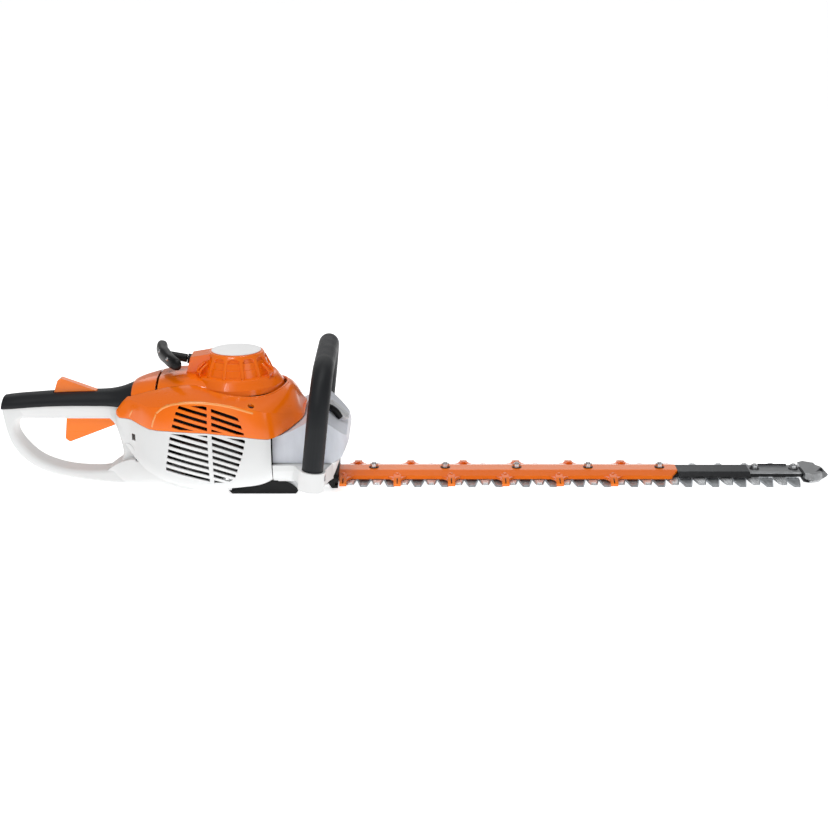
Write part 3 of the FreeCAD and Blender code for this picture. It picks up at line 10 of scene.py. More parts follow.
import bpy
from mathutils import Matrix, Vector


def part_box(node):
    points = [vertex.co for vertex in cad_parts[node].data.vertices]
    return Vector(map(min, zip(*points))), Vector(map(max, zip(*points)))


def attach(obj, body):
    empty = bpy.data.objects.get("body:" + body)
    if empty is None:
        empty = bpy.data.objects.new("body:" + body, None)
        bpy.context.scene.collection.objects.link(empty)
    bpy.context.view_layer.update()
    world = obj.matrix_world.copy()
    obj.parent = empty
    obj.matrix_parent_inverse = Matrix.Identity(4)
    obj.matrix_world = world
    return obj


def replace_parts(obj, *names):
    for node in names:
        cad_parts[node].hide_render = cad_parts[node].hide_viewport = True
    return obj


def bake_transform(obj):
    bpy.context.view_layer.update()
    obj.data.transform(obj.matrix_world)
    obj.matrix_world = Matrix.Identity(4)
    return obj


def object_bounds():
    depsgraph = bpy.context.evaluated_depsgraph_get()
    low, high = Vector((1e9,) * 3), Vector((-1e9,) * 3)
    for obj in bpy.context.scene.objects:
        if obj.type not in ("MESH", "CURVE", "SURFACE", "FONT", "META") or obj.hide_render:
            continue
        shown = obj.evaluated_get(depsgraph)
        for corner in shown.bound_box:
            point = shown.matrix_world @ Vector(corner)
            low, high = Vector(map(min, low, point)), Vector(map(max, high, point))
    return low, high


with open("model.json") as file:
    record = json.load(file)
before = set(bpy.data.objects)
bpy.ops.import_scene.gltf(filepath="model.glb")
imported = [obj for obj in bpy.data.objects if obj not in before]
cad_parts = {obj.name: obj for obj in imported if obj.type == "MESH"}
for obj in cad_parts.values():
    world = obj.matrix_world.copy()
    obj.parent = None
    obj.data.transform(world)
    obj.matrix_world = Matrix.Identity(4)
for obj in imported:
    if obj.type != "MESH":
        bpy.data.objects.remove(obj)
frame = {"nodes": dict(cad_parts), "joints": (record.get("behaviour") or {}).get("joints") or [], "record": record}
CAD_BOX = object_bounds()
MM = 0.001
HOUSING = "housing"
UP = Vector((0, 0, 1))
SIDEWAYS = Vector((0, 1, 0))
# The near row of fingers on the guard, in mm from the guard's root end.
FIRST_FINGER, FINGER_STEP, FINGERS = 5.9, 67.2, 6
# Width of the visible fuel cap and its neck against the CAD solids.
CAP_SCALE = 0.727
# Steps that a smooth line takes from one of its points to the next.
ROUTE_STEPS, TUBE_STEPS = 14, 8
# Radii, in metres, to which the shading rounds the edges of plastic and of metal.
PLASTIC_EDGE, METAL_EDGE = 0.9 * MM, 0.35 * MM
# The height of the housing's long axis, and the places of a face along its own normal,
# counted from that axis, where the painted shade on the housing's inner faces is full and
# where it ends.
AXIS_HEIGHT = 0.075
INWARD_REACH = (-0.058, -0.054)
# Where rays at the model start, in metres: beside it and above it.
BESIDE, OVERHEAD = 0.2, 0.4


# ---------------------------------------------------------------- node helpers
class Shader:
    """A material's node tree, with short calls for the nodes that the materials share."""

    def __init__(self, name):
        self.material = bpy.data.materials.new(name)
        self.material.use_nodes = True
        self.tree = self.material.node_tree
        self.surface = self.tree.nodes["Principled BSDF"]
        self.coords = self.tree.nodes.new("ShaderNodeTexCoord").outputs["Object"]

    def add(self, kind, inputs=None, **settings):
        """A new node with its settings and its inputs."""
        item = self.tree.nodes.new(kind)
        for key, value in settings.items():
            setattr(item, key, value)
        for key, value in (inputs or {}).items():
            self.feed(item.inputs[key], value)
        return item

    def feed(self, socket, value):
        """Links an output to a socket, or sets the socket's own value."""
        if isinstance(value, bpy.types.NodeSocket):
            self.tree.links.new(value, socket)
        else:
            socket.default_value = value

    def set(self, **sockets):
        """Feeds inputs of the surface, named with _ for a space."""
        for key, value in sockets.items():
            self.feed(self.surface.inputs[key.replace("_", " ")], value)

    def stretched(self, x, y, z):
        """The object's coordinates, scaled along each axis."""
        return self.add("ShaderNodeMapping", {"Vector": self.coords, "Scale": (x, y, z)}).outputs[0]

    def noise(self, scale, detail=3.0, roughness=0.55, coords=None):
        return self.add("ShaderNodeTexNoise", {
            "Vector": coords or self.coords, "Scale": scale, "Detail": detail,
            "Roughness": roughness}).outputs["Fac"]

    def cells(self, scale, coords=None):
        return self.add("ShaderNodeTexVoronoi", {
            "Vector": coords or self.coords, "Scale": scale}).outputs["Distance"]

    def band(self, source, low, high, at_low=0.0, at_high=1.0):
        """Maps a stretch of a value onto another, clamped."""
        return self.add("ShaderNodeMapRange", {
            "Value": source, "From Min": low, "From Max": high,
            "To Min": at_low, "To Max": at_high}).outputs["Result"]

    def blend(self, factor, first, second):
        """Mixes two colours."""
        item = self.add("ShaderNodeMix", data_type="RGBA")
        self.feed(item.inputs["Factor"], factor)
        for index, colour in ((6, first), (7, second)):
            value = (*colour, 1.0) if isinstance(colour, tuple) else colour
            self.feed(item.inputs[index], value)
        return item.outputs[2]

    def sum(self, first, second, weight=1.0):
        """First plus weight times second."""
        return self.add("ShaderNodeMath", {0: second, 1: weight, 2: first},
                        operation="MULTIPLY_ADD").outputs[0]

    def inner_faces(self):
        """1 on the inner faces of a housing, which look back at its long axis from far off."""
        place = self.add("ShaderNodeVectorMath", {0: self.coords, 1: (0.0, 1.0, 1.0)},
                         operation="MULTIPLY")
        arm = self.add("ShaderNodeVectorMath", {0: place.outputs[0], 1: (0.0, 0.0, AXIS_HEIGHT)},
                       operation="SUBTRACT")
        facing = self.add("ShaderNodeNewGeometry").outputs["Normal"]
        reach = self.add("ShaderNodeVectorMath", {0: arm.outputs[0], 1: facing},
                         operation="DOT_PRODUCT")
        return self.band(reach.outputs["Value"], *INWARD_REACH, 1.0, 0.0)

    def bump(self, height, depth, strength=1.0, round_edges=0.0):
        """Bump from a height, on edges that are shaded as if rounded to a radius."""
        inputs = {"Height": height, "Distance": depth, "Strength": strength}
        if round_edges:
            eased = self.add("ShaderNodeBevel", {"Radius": round_edges}, samples=6)
            inputs["Normal"] = eased.outputs["Normal"]
        return self.add("ShaderNodeBump", inputs).outputs["Normal"]


def scaled(colour, factor):
    """A colour made darker or lighter, kept within 1."""
    return tuple(min(1.0, c * factor) for c in colour)


# ---------------------------------------------------------------- materials
def moulded(name, colour, rough=0.4, grain=1500.0, grain_depth=0.00005, coat=0.0,
            worn=0.0, dust=0.04, gloss=0.5, shade_inside=False):
    """Injection-moulded plastic: fine texture, uneven gloss, rubbed edges and light dust.

    On request, the inner faces of a housing get painted shade in black.
    """
    s = Shader(name)
    cloudy = s.band(s.noise(9.0), 0.3, 0.7)
    tone = s.blend(cloudy, scaled(colour, 0.94), scaled(colour, 1.05))
    specks = s.band(s.noise(420.0, 6.0, 0.7), 0.62, 0.78, 0.0, dust)
    tone = s.blend(specks, tone, (0.75, 0.73, 0.70))
    edge = s.add("ShaderNodeNewGeometry").outputs["Pointiness"]
    rubbed = s.band(edge, 0.53, 0.60, 0.0, worn)
    tone = s.blend(rubbed, tone, scaled(colour, 1.6))
    # Painted shade: the inner faces of the housing are turned black, as if they lay in the dark.
    if shade_inside:
        tone = s.blend(s.inner_faces(), tone, BLACK)
    scuffs = s.noise(60.0, 8.0, 0.7, s.stretched(0.35, 1.0, 1.6))
    skin = s.sum(s.noise(grain, 2.0), s.cells(grain * 0.7), 0.5)
    s.set(Base_Color=tone, Coat_Weight=coat, Coat_Roughness=0.12, Specular_IOR_Level=gloss,
          Roughness=s.band(scuffs, 0.3, 0.75, rough - 0.06, rough + 0.12),
          Normal=s.bump(skin, grain_depth, round_edges=PLASTIC_EDGE))
    return s.material


def metal(name, colour, rough=0.3, lines=(1.0, 1.0, 1.0), line_scale=300.0, depth=0.00002,
          stain=(0.2, 0.18, 0.16), stained=0.15, metallic=1.0):
    """Metal with the marks of its making along one direction, and light stains."""
    s = Shader(name)
    marks = s.noise(line_scale, 5.0, 0.6, s.stretched(*lines))
    tone = s.blend(s.band(marks, 0.3, 0.7), scaled(colour, 0.86), scaled(colour, 1.1))
    patches = s.band(s.noise(38.0, 6.0, 0.65), 0.52, 0.75, 0.0, stained)
    tone = s.blend(patches, tone, stain)
    s.set(Base_Color=tone, Metallic=metallic,
          Roughness=s.band(marks, 0.25, 0.75, rough - 0.08, rough + 0.14),
          Normal=s.bump(marks, depth, round_edges=METAL_EDGE))
    return s.material


def masked(name, base, dark, rough, region):
    """Metal of one tone with a second, dark tone where region(shader) is 1."""
    s = Shader(name)
    marks = s.noise(420.0, 5.0, 0.6, s.stretched(2.0, 0.4, 1.0))
    light = s.blend(s.band(marks, 0.3, 0.7), scaled(base, 0.84), scaled(base, 1.12))
    deep = s.blend(s.band(marks, 0.3, 0.7), scaled(dark, 0.8), scaled(dark, 1.3))
    where = region(s)
    s.set(Base_Color=s.blend(where, light, deep), Metallic=s.band(where, 0.0, 1.0, 1.0, 0.55),
          Roughness=s.band(marks, 0.25, 0.75, rough - 0.07, rough + 0.13),
          Normal=s.bump(marks, 0.00003, round_edges=METAL_EDGE))
    return s.material


def below_height(first, second, change_x):
    """A region under one height before a place along X, and under another after it."""
    def region(s):
        place = s.add("ShaderNodeSeparateXYZ", {0: s.coords})
        limit = s.band(place.outputs["X"], change_x, change_x + MM, first, second)
        return s.add("ShaderNodeMath", {0: place.outputs["Z"], 1: limit},
                     operation="LESS_THAN").outputs[0]
    return region


def above_height(height):
    """A region over one height."""
    def region(s):
        place = s.add("ShaderNodeSeparateXYZ", {0: s.coords})
        return s.add("ShaderNodeMath", {0: place.outputs["Z"], 1: height},
                     operation="GREATER_THAN").outputs[0]
    return region


def frosted_tank(name, colour):
    """Milky polyethylene: light passes a little way in, and the mould leaves soft streaks."""
    s = Shader(name)
    streaks = s.noise(14.0, 5.0, 0.6, s.stretched(2.2, 2.2, 0.7))
    tone = s.blend(s.band(streaks, 0.35, 0.7), scaled(colour, 0.88), scaled(colour, 1.08))
    skin = s.noise(900.0, 2.0)
    s.set(Base_Color=tone, Transmission_Weight=0.12, IOR=1.49, Subsurface_Weight=0.25,
          Subsurface_Radius=(0.012, 0.012, 0.014),
          Roughness=s.band(streaks, 0.3, 0.7, 0.28, 0.42), Normal=s.bump(skin, 0.00004))
    return s.material


def soft_rubber(name, colour, rough=0.7):
    """Matt rubber with light grime."""
    s = Shader(name)
    grime = s.band(s.noise(70.0, 6.0, 0.7), 0.45, 0.75)
    tone = s.blend(grime, colour, scaled(colour, 1.7))
    s.set(Base_Color=tone, Roughness=s.band(grime, 0.0, 1.0, rough, rough + 0.15),
          Normal=s.bump(s.noise(1100.0, 4.0), 0.00006))
    return s.material


def braided(name, colour):
    """Rope braid: two sets of slanted strands."""
    s = Shader(name)
    strands = s.add("ShaderNodeTexWave", {
        "Vector": s.coords, "Scale": 260.0, "Distortion": 1.2,
        "Detail": 2.0}, bands_direction="DIAGONAL").outputs["Fac"]
    tone = s.blend(strands, scaled(colour, 0.5), scaled(colour, 1.9))
    s.set(Base_Color=tone, Roughness=0.85, Normal=s.bump(strands, 0.0004))
    return s.material


def felt(name, colour):
    """Loose fibres of a filter."""
    s = Shader(name)
    fibres = s.noise(800.0, 8.0, 0.75)
    tone = s.blend(s.band(fibres, 0.3, 0.7), scaled(colour, 0.7), scaled(colour, 1.1))
    s.set(Base_Color=tone, Roughness=0.95, Sheen_Weight=0.3, Normal=s.bump(fibres, 0.0003))
    return s.material


ORANGE = (1.0, 0.175, 0.001)
WHITE = (0.76, 0.77, 0.77)
CHARCOAL = (0.014, 0.0155, 0.0175)
BLACK = (0.005, 0.0052, 0.0056)


def make_materials():
    """One material for each material slot of the record, and some versions of them.

    The heights divide pieces that are dark on one part and bare on another: the washers
    under the nuts, the flats of the bar and of the tip plate, and the screws of the side,
    whose shaded orange is painted shade of the orange recesses round them.
    """
    washer = 0.66 * MM
    guard_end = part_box("finger_guard")[1].x
    guard_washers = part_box("finger_guard")[1].z + washer
    bare_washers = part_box("bar_nuts")[0].z + washer
    bar_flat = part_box("guide_bar")[1].z - 0.5 * MM
    tip_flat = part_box("tip_plate")[1].z - 1.25 * MM
    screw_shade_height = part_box("engine_shroud")[0].z + 0.25 * CAD_BOX[1][2]
    return {
        "hood_plastic": moulded("hood_plastic", ORANGE, 0.30, 900.0, 0.00002, coat=0.75,
                                worn=0.25, dust=0.004, gloss=0.12),
        "shell_plastic": moulded("shell_plastic", WHITE, 0.42, 1300.0, 0.00004, coat=0.05,
                                 worn=0.3, dust=0.10),
        "grip_plastic": moulded("grip_plastic", CHARCOAL, 0.46, 1600.0, 0.00010, worn=0.5,
                                dust=0.01, gloss=0.2),
        "black_plastic": moulded("black_plastic", BLACK, 0.36, 1200.0, 0.00006, worn=0.5,
                                 dust=0.01, gloss=0.2),
        "cap_plastic": moulded("cap_plastic", (0.55, 0.56, 0.57), 0.38, 1300.0, 0.00004,
                               worn=0.3),
        "red_plastic": moulded("red_plastic", (0.55, 0.02, 0.02), 0.35, 1300.0, 0.00003,
                               worn=0.3),
        "label_film": moulded("label_film", (0.97, 0.97, 0.97), 0.32, 700.0, 0.00001,
                              coat=0.2, dust=0.02),
        "ceramic": moulded("ceramic", (0.82, 0.80, 0.76), 0.2, 500.0, 0.00001, coat=0.5),
        "clear_rubber": soft_rubber("clear_rubber", (0.45, 0.38, 0.28), 0.35),
        "rubber": soft_rubber("rubber", (0.018, 0.018, 0.019)),
        "tank_plastic": frosted_tank("tank_plastic", (0.80, 0.83, 0.90)),
        "cast_aluminium": metal("cast_aluminium", (0.58, 0.59, 0.60), 0.45, (1, 1, 1), 900.0,
                                0.00015),
        "grey_metal": metal("grey_metal", (0.46, 0.47, 0.48), 0.38, (0.2, 1, 1), 500.0,
                            0.00008, metallic=0.8),
        "blade_steel": metal("blade_steel", (0.80, 0.82, 0.84), 0.26, (1.6, 0.2, 1.0), 210.0,
                             0.00001, stained=0.10, metallic=0.7),
        "dark_steel": metal("dark_steel", (0.035, 0.037, 0.040), 0.34, (0.1, 2.5, 1.0), 300.0,
                            0.00002, stained=0.1),
        "zinc_steel": metal("zinc_steel", (0.56, 0.57, 0.58), 0.30, (1, 1, 1), 500.0, 0.00004),
        "hot_steel": metal("hot_steel", (0.36, 0.31, 0.26), 0.42, (1, 1, 1), 120.0, 0.0001,
                           stain=(0.12, 0.08, 0.16), stained=0.5),
        "brass": metal("brass", (0.70, 0.50, 0.20), 0.28, (1, 1, 1), 400.0, 0.00003),
        "rope_fibre": braided("rope_fibre", (0.04, 0.04, 0.045)),
        # A lighter, glossier orange for the hood's creases: a painted highlight along them.
        "crease_highlight": moulded("crease_highlight", (1.0, 0.36, 0.07), 0.22, 900.0, 0.00002,
                                   coat=0.8, dust=0.0),
        # The white shell with painted shade: black on its inner faces.
        "inside_shaded_shell": moulded("inside_shaded_shell", WHITE, 0.42, 1300.0, 0.00004, coat=0.05,
                               worn=0.3, dust=0.10, shade_inside=True),
        # A darker, more stained copy of the blade steel, for the lower blade and its rod.
        "lower_steel": metal("lower_steel", (0.44, 0.46, 0.48), 0.32, (1.6, 0.2, 1.0), 210.0,
                            0.00001, stained=0.25, metallic=0.6),
        # Near black: partly the soot of burnt metal, partly painted shade, as the muffler, crankcase and cylinder
        # sit in the dark behind the air slots.
        "sooty_shaded_steel": metal("sooty_shaded_steel", (0.10, 0.10, 0.10), 0.55, (1, 1, 1), 200.0,
                             0.00008, stained=0.5),
        "bar_enamel": masked("bar_enamel", (0.10, 0.105, 0.11), (0.020, 0.021, 0.023), 0.36,
                             below_height(bar_flat, bar_flat, 0.0)),
        "nut_steel": masked("nut_steel", (0.66, 0.67, 0.68), (0.020, 0.020, 0.022), 0.26,
                            below_height(guard_washers, bare_washers, guard_end)),
        # Painted shade: the upper side screws are tinted the shaded orange of the recesses they sit in.
        "screw_steel": masked("screw_steel", (0.30, 0.30, 0.31), scaled(ORANGE, 0.55), 0.34,
                              above_height(screw_shade_height)),
        "tip_metal": masked("tip_metal", (0.42, 0.43, 0.44), (0.008, 0.008, 0.009), 0.40,
                            above_height(tip_flat)),
        "filter_foam": felt("filter_foam", (0.62, 0.56, 0.42)),
    }


OWN_LOOKS = {
    "bar_nuts": "nut_steel", "housing_screws": "screw_steel", "tip_plate": "tip_metal",
    "guide_bar": "bar_enamel", "lower_blade": "lower_steel", "lower_rod": "lower_steel",
    "muffler": "sooty_shaded_steel", "crankcase": "sooty_shaded_steel", "cylinder": "sooty_shaded_steel",
    "lower_shell": "inside_shaded_shell"}


def give(piece, slot):
    """Puts a slot's material on a piece."""
    piece.data.materials.clear()
    piece.data.materials.append(MATERIALS[slot])


def dress_frame():
    """Gives every CAD node the material of its slot, or its own version of that material."""
    for entry in frame["record"]["subparts"]:
        item = frame["nodes"][entry["node"]]
        give(item, entry["material_slot"])
        if entry["node"] in OWN_LOOKS:
            give(item, OWN_LOOKS[entry["node"]])


# ---------------------------------------------------------------- detail pieces
def new_piece(name, vertices, faces, slot, body=HOUSING):
    """A mesh piece in the row frame, with its slot's material, that rides on a body."""
    mesh = bpy.data.meshes.new(name)
    mesh.from_pydata([tuple(v) for v in vertices], [], faces)
    mesh.update()
    piece = bpy.data.objects.new(name, mesh)
    bpy.context.scene.collection.objects.link(piece)
    for polygon in mesh.polygons:
        polygon.use_smooth = True
    give(piece, slot)
    if body:
        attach(piece, body)
    return piece


def smooth_line(points, count):
    """Points on a curve that passes through the given ones (Catmull-Rom)."""
    padded = [2 * points[0] - points[1], *points, 2 * points[-1] - points[-2]]
    line = []
    spans = len(points) - 1
    for i in range(count + 1):
        t = min(i * spans / count, spans - 1e-6)
        k = int(t)
        f = t - k
        a, b, c, d = padded[k:k + 4]
        line.append(0.5 * (2 * b + (c - a) * f + (2 * a - 5 * b + 4 * c - d) * f ** 2
                           + (3 * b - a - 3 * c + d) * f ** 3))
    return line


def on_surface(node, x, z, side):
    """Where a ray along Y from outside meets a CAD node, and the face's normal there."""
    start = Vector((x, side * BESIDE, z))
    found, place, normal, _ = frame["nodes"][node].ray_cast(start, Vector((0, -side, 0)))
    return (place, normal) if found else None


def below(node, x, y):
    """Where a ray straight down meets a CAD node, and the face's normal there."""
    found, place, normal, _ = frame["nodes"][node].ray_cast(Vector((x, y, OVERHEAD)), -UP)
    return (place, normal) if found else None


def ridge(name, hits, half_width, height, slot):
    """A soft raised line along places on a CAD node, which fades out at its ends."""
    hits = [hit for hit in hits if hit]
    vertices, faces = [], []
    profile = [(-1.0, -0.5), (-0.6, 0.3), (0.0, 1.0), (0.6, 0.3), (1.0, -0.5), (0.0, -0.9)]
    for i, (place, normal) in enumerate(hits):
        before, after = hits[max(i - 1, 0)][0], hits[min(i + 1, len(hits) - 1)][0]
        across = normal.cross(after - before).normalized()
        fade = min(1.0, 6.0 * min(i, len(hits) - 1 - i) / len(hits) + 0.02)
        for u, v in profile:
            lift = height * (v * fade if v > 0 else v)
            vertices.append(place + (across * u * half_width + normal * lift) * MM)
    close_rings(faces, len(hits), len(profile), caps=True)
    return new_piece(name, vertices, faces, slot)


def close_rings(faces, rings, around, caps=False, loop=False):
    """Quads between rings of points; the rings end in caps or join into a loop."""
    for i in range(rings if loop else rings - 1):
        j = (i + 1) % rings
        for k in range(around):
            n = (k + 1) % around
            faces.append((i * around + k, i * around + n, j * around + n, j * around + k))
    if caps:
        faces.append(tuple(reversed(range(around))))
        faces.append(tuple(range((rings - 1) * around, rings * around)))


def side_route(node, route, side):
    """Places on the side of a CAD node along a smooth route of (x, z) points, in mm."""
    spots = [Vector((x, z, 0.0)) * MM for x, z in route]
    line = smooth_line(spots, ROUTE_STEPS * (len(route) - 1))
    return [on_surface(node, p.x, p.y, side) for p in line]


def hood_ridges():
    """Moulded lines of the hood: the arch over the grille and the folds behind it."""
    arch = [(-127, 111), (-117, 119), (-101, 124.5), (-72, 126), (-40, 122), (-10, 113)]
    fold = [(-127.5, 110), (-131, 101), (-133, 93.5)]
    rear = [(-161, 106), (-164, 101), (-165.5, 97)]
    lines = (("arch", arch, 1.9, 0.95), ("fold", fold, 1.6, 0.8), ("rear", rear, 1.4, 0.6))
    for side, label in ((-1, "near"), (1, "far")):
        for name, route, half_width, height in lines:
            hits = side_route("engine_shroud", route, side)
            line = ridge(f"hood_{name}_{label}", hits, half_width, height, "hood_plastic")
            # The creases get the lighter orange of a painted highlight.
            give(line, "crease_highlight")


def tail_seam():
    """The seam where the rear handle's tail meets the lower shell."""
    route = [(-177, 59.4), (-170, 61.5), (-164, 59.9), (-160, 54.4)]
    hits = side_route("lower_shell", route, -1)
    ridge("tail_seam", hits, 0.6, 0.3, "cap_plastic")


def collar_lip():
    """The lip of the hood's collar round the starter dome, open towards the rear."""
    centre, _, _ = dome_frame()
    reach = 63.4 * MM
    hits = []
    for degrees in range(-96, 75, 3):
        turn = math.radians(degrees)
        x, y = centre.x + reach * math.cos(turn), reach * math.sin(turn)
        hits.append(below("engine_shroud", x, y))
    ridge("hood_collar_lip", hits, 1.5, 1.1, "hood_plastic")


def finger_notch_shades():
    """A thin black strip under the nub of each near finger: painted shade of the notch there."""
    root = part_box("finger_guard")[0].x / MM
    for i in range(FINGERS):
        x = root + FIRST_FINGER + FINGER_STEP * i
        hits = side_route("finger_guard", [(x, 15.5), (x, 14.0), (x, 12.2)], -1)
        # Painted shade of the notch: a black strip barely raised from the finger.
        ridge(f"finger_notch_shade_{i + 1}", hits, 0.9, 0.12, "black_plastic")


def dome_frame():
    """The starter dome's axis, its top and the radius of its head, from the label's disc."""
    low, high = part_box("starter_label")
    rim = 1 * MM
    axis = Vector(((low.x + high.x) / 2, (low.y + high.y) / 2, 0))
    return axis, low.z, (high.x - low.x) / 2 + rim


# The basket: the turn from one post to the next in degrees, and in mm how deep its windows
# are, how far its posts stand out from the dome's outline, and how far inside it the back is.
WINDOW_TURN = 30.0
WINDOW_DEPTH, POST_PROUD, BASKET_WALL = 3.2, 0.45, 4.2


def basket_reach(drop):
    """How far a post of the basket stands beyond the head's radius, at a depth, in mm."""
    line = [(0.3, 0.6), (0.7, 1.3), (7.0, 5.0), (17.0, 10.0), (26.4, 14.0), (30.0, 16.0)]
    for (d0, r0), (d1, r1) in zip(line, line[1:]):
        if drop <= d1:
            return r0 + (r1 - r0) * max(drop - d0, 0.0) / (d1 - d0)
    return line[-1][1]


def dome_point(centre, height, turn, reach, drop):
    """A place at a turn about the dome's axis, a reach from it and a drop below its top."""
    return centre + Vector((reach * math.cos(turn), reach * math.sin(turn), height - drop * MM))


def post_rise(away, radius, drop):
    """1 on a post or rim of the basket and 0 in a window, which has round upper corners.

    away is the angle in degrees from the middle of the window.
    """
    half_post, middle, half_height = 2.1, 16.4, 11.8
    corner = 4.5 if drop < middle else 0.5
    beside = abs(math.radians(away)) * radius - (math.radians(WINDOW_TURN / 2) * radius - half_post)
    over = abs(drop - middle) - half_height
    du, dv = beside + corner, over + corner
    gap = math.hypot(max(du, 0.0), max(dv, 0.0)) + min(max(du, dv), 0.0) - corner
    rise = min(max((gap + 1.0) / 1.5, 0.0), 1.0)
    return rise * rise * (3 - 2 * rise)


def starter_basket():
    """Posts and arched windows round the starter dome, as one closed shell over its steps."""
    centre, top, head = dome_frame()
    turns = 300
    outer_drops = [0.3 + 26.1 * j / 33 for j in range(34)]
    inner_drops = [26.0, 17.0, 8.0, 1.5]
    vertices, faces = [], []
    for i in range(turns):
        turn = 2 * math.pi * i / turns
        away = (math.degrees(turn) + WINDOW_TURN / 2) % WINDOW_TURN - WINDOW_TURN / 2
        for drop in outer_drops:
            radius = head / MM + basket_reach(drop)
            recess = WINDOW_DEPTH * (1 - post_rise(away, radius, drop))
            reach = (radius + POST_PROUD - recess) * MM
            vertices.append(dome_point(centre, top, turn, reach, drop))
        for drop in inner_drops:
            reach = head + (basket_reach(drop) - BASKET_WALL) * MM
            vertices.append(dome_point(centre, top, turn, reach, drop))
    close_rings(faces, turns, len(outer_drops) + len(inner_drops), loop=True)
    new_piece("starter_basket", vertices, faces, "hood_plastic")


def starter_hooks():
    """Two looped hooks at the foot of the basket, on the near side."""
    centre, top, head = dome_frame()
    profile = [(8.5, -12.0), (14.5, -16.5), (18.0, -20.5), (18.6, -25.5), (17.2, -28.5)]
    for degrees, label in ((-28, "front"), (-152, "rear")):
        turn = math.radians(degrees)
        out = Vector((math.cos(turn), math.sin(turn), 0))
        aside = Vector((-out.y, out.x, 0)) * MM
        for step, end in ((-4.2, "a"), (4.2, "b")):
            path = [centre + aside * step + out * (head + reach * MM) + UP * (top + rise * MM)
                    for reach, rise in profile]
            tube(f"starter_hook_{label}_{end}", path, 1.5, "hood_plastic")
        bridge = [centre + out * (head + 18.3 * MM) + UP * (top - 22.5 * MM) + aside * step
                  for step in (-5.0, -1.7, 1.7, 5.0)]
        tube(f"starter_hook_{label}_c", bridge, 1.7, "hood_plastic")


def tube(name, path, radius, slot, body=HOUSING, around=10):
    """A round bar, radius in mm, along a smooth path."""
    line = smooth_line(path, TUBE_STEPS * (len(path) - 1))
    vertices, faces = [], []
    for i, spot in enumerate(line):
        along = (line[min(i + 1, len(line) - 1)] - line[max(i - 1, 0)]).normalized()
        side = along.cross(UP)
        side = side.normalized() if side.length > 0.05 else Vector((1, 0, 0))
        over = side.cross(along)
        for k in range(around):
            a = 2 * math.pi * k / around
            vertices.append(spot + (side * math.cos(a) + over * math.sin(a)) * radius * MM)
    close_rings(faces, len(line), around, caps=True)
    return new_piece(name, vertices, faces, slot, body)


def shell_floor(x, y):
    """Height just above the shell's inner face under a place inside the housing."""
    probe, gap = 0.055, 0.8 * MM
    rear_floor, front_floor, rear_end = 0.034, 0.0165, -0.105
    shell = frame["nodes"]["lower_shell"]
    found, place, _, _ = shell.ray_cast(Vector((x, y, probe)), -UP)
    if found:
        return min(place.z + gap, rear_floor)
    return rear_floor if x < rear_end else front_floor


def slot_shade_sheets():
    """Black sheets inside the housing: painted shade behind the air slots."""
    low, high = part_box("engine_shroud")
    rear_gap, front_gap, top = 42 * MM, 32 * MM, 0.108
    offset, wave, thickness = 37.4, 0.15, 0.6 * MM
    columns, rows = 22, 9
    for side, label in ((-1, "near"), (1, "far")):
        vertices, faces = [], []
        for i in range(columns + 1):
            x = low.x + rear_gap + (high.x - low.x - rear_gap - front_gap) * i / columns
            y = side * (offset + wave * math.sin(1.9 * i)) * MM
            foot = shell_floor(x, y)
            heights = [foot + (top - foot) * j / rows for j in range(rows + 1)]
            vertices += [Vector((x, y, z)) for z in heights]
            vertices += [Vector((x, y - side * thickness, z)) for z in reversed(heights)]
        close_rings(faces, columns + 1, 2 * (rows + 1), caps=True)
        # Each sheet is painted shade: a black wall where the slots look into the dark.
        new_piece(f"slot_shade_sheet_{label}", vertices, faces, "black_plastic")


def joint_called(name):
    """A joint of the frame by its name."""
    return next(joint for joint in frame["joints"] if joint["name"] == name)


def reshaped(node, name, move, slot, body):
    """A piece that stands for a CAD node: its mesh with each point moved by a rule."""
    mesh = frame["nodes"][node].data.copy()
    for vertex in mesh.vertices:
        vertex.co = move(vertex.co.copy())
    mesh.update()
    piece = bpy.data.objects.new(name, mesh)
    bpy.context.scene.collection.objects.link(piece)
    give(piece, slot)
    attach(piece, body)
    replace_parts(piece, node)


def low_cap():
    """The fuel cap and its neck at their slimmer, lower shape, on the cap's own axis."""
    turn = joint_called("cap_turn")
    seat, axis = Vector(turn["pos_m"]), Vector(turn["axis"]).normalized()
    cap_foot, neck_root, neck_radius = 2.4 * MM, -12.5 * MM, 19.3 * MM
    cap_seat, neck_top = 0.4 * MM, 0.2 * MM
    head_share, foot_share = 0.42, 0.8

    def split(spot):
        """The height of a place above the seat, and its offset from the axis."""
        rise = (spot - seat).dot(axis)
        return rise, spot - seat - axis * rise

    def cap_move(spot):
        rise, out = split(spot)
        rise = cap_seat + (rise - cap_foot) * (head_share if rise > cap_foot else foot_share)
        return seat + axis * rise + out * CAP_SCALE

    def tank_move(spot):
        rise, out = split(spot)
        if rise < neck_root or out.length > neck_radius:
            return spot
        return seat + axis * min(rise, neck_top) + out * CAP_SCALE

    reshaped("fuel_cap", "fuel_cap_low", cap_move, "cap_plastic", "cap")
    reshaped("fuel_tank", "fuel_tank_body", tank_move, "tank_plastic", HOUSING)
    # Painted shadow: a black tube laid beside the cap, where the cap's near side throws its shadow.
    across = axis.cross(SIDEWAYS)
    shadow_route = ((16.5, 18.2, 1.2), (11, 19.2, 4.0), (3, 18.8, 4.2), (-5, 17.0, 1.6))
    path = [seat + (across * u - SIDEWAYS * v + axis * w) * MM for u, v, w in shadow_route]
    tube("cap_shadow_tube", path, 4.0, "black_plastic", around=14)


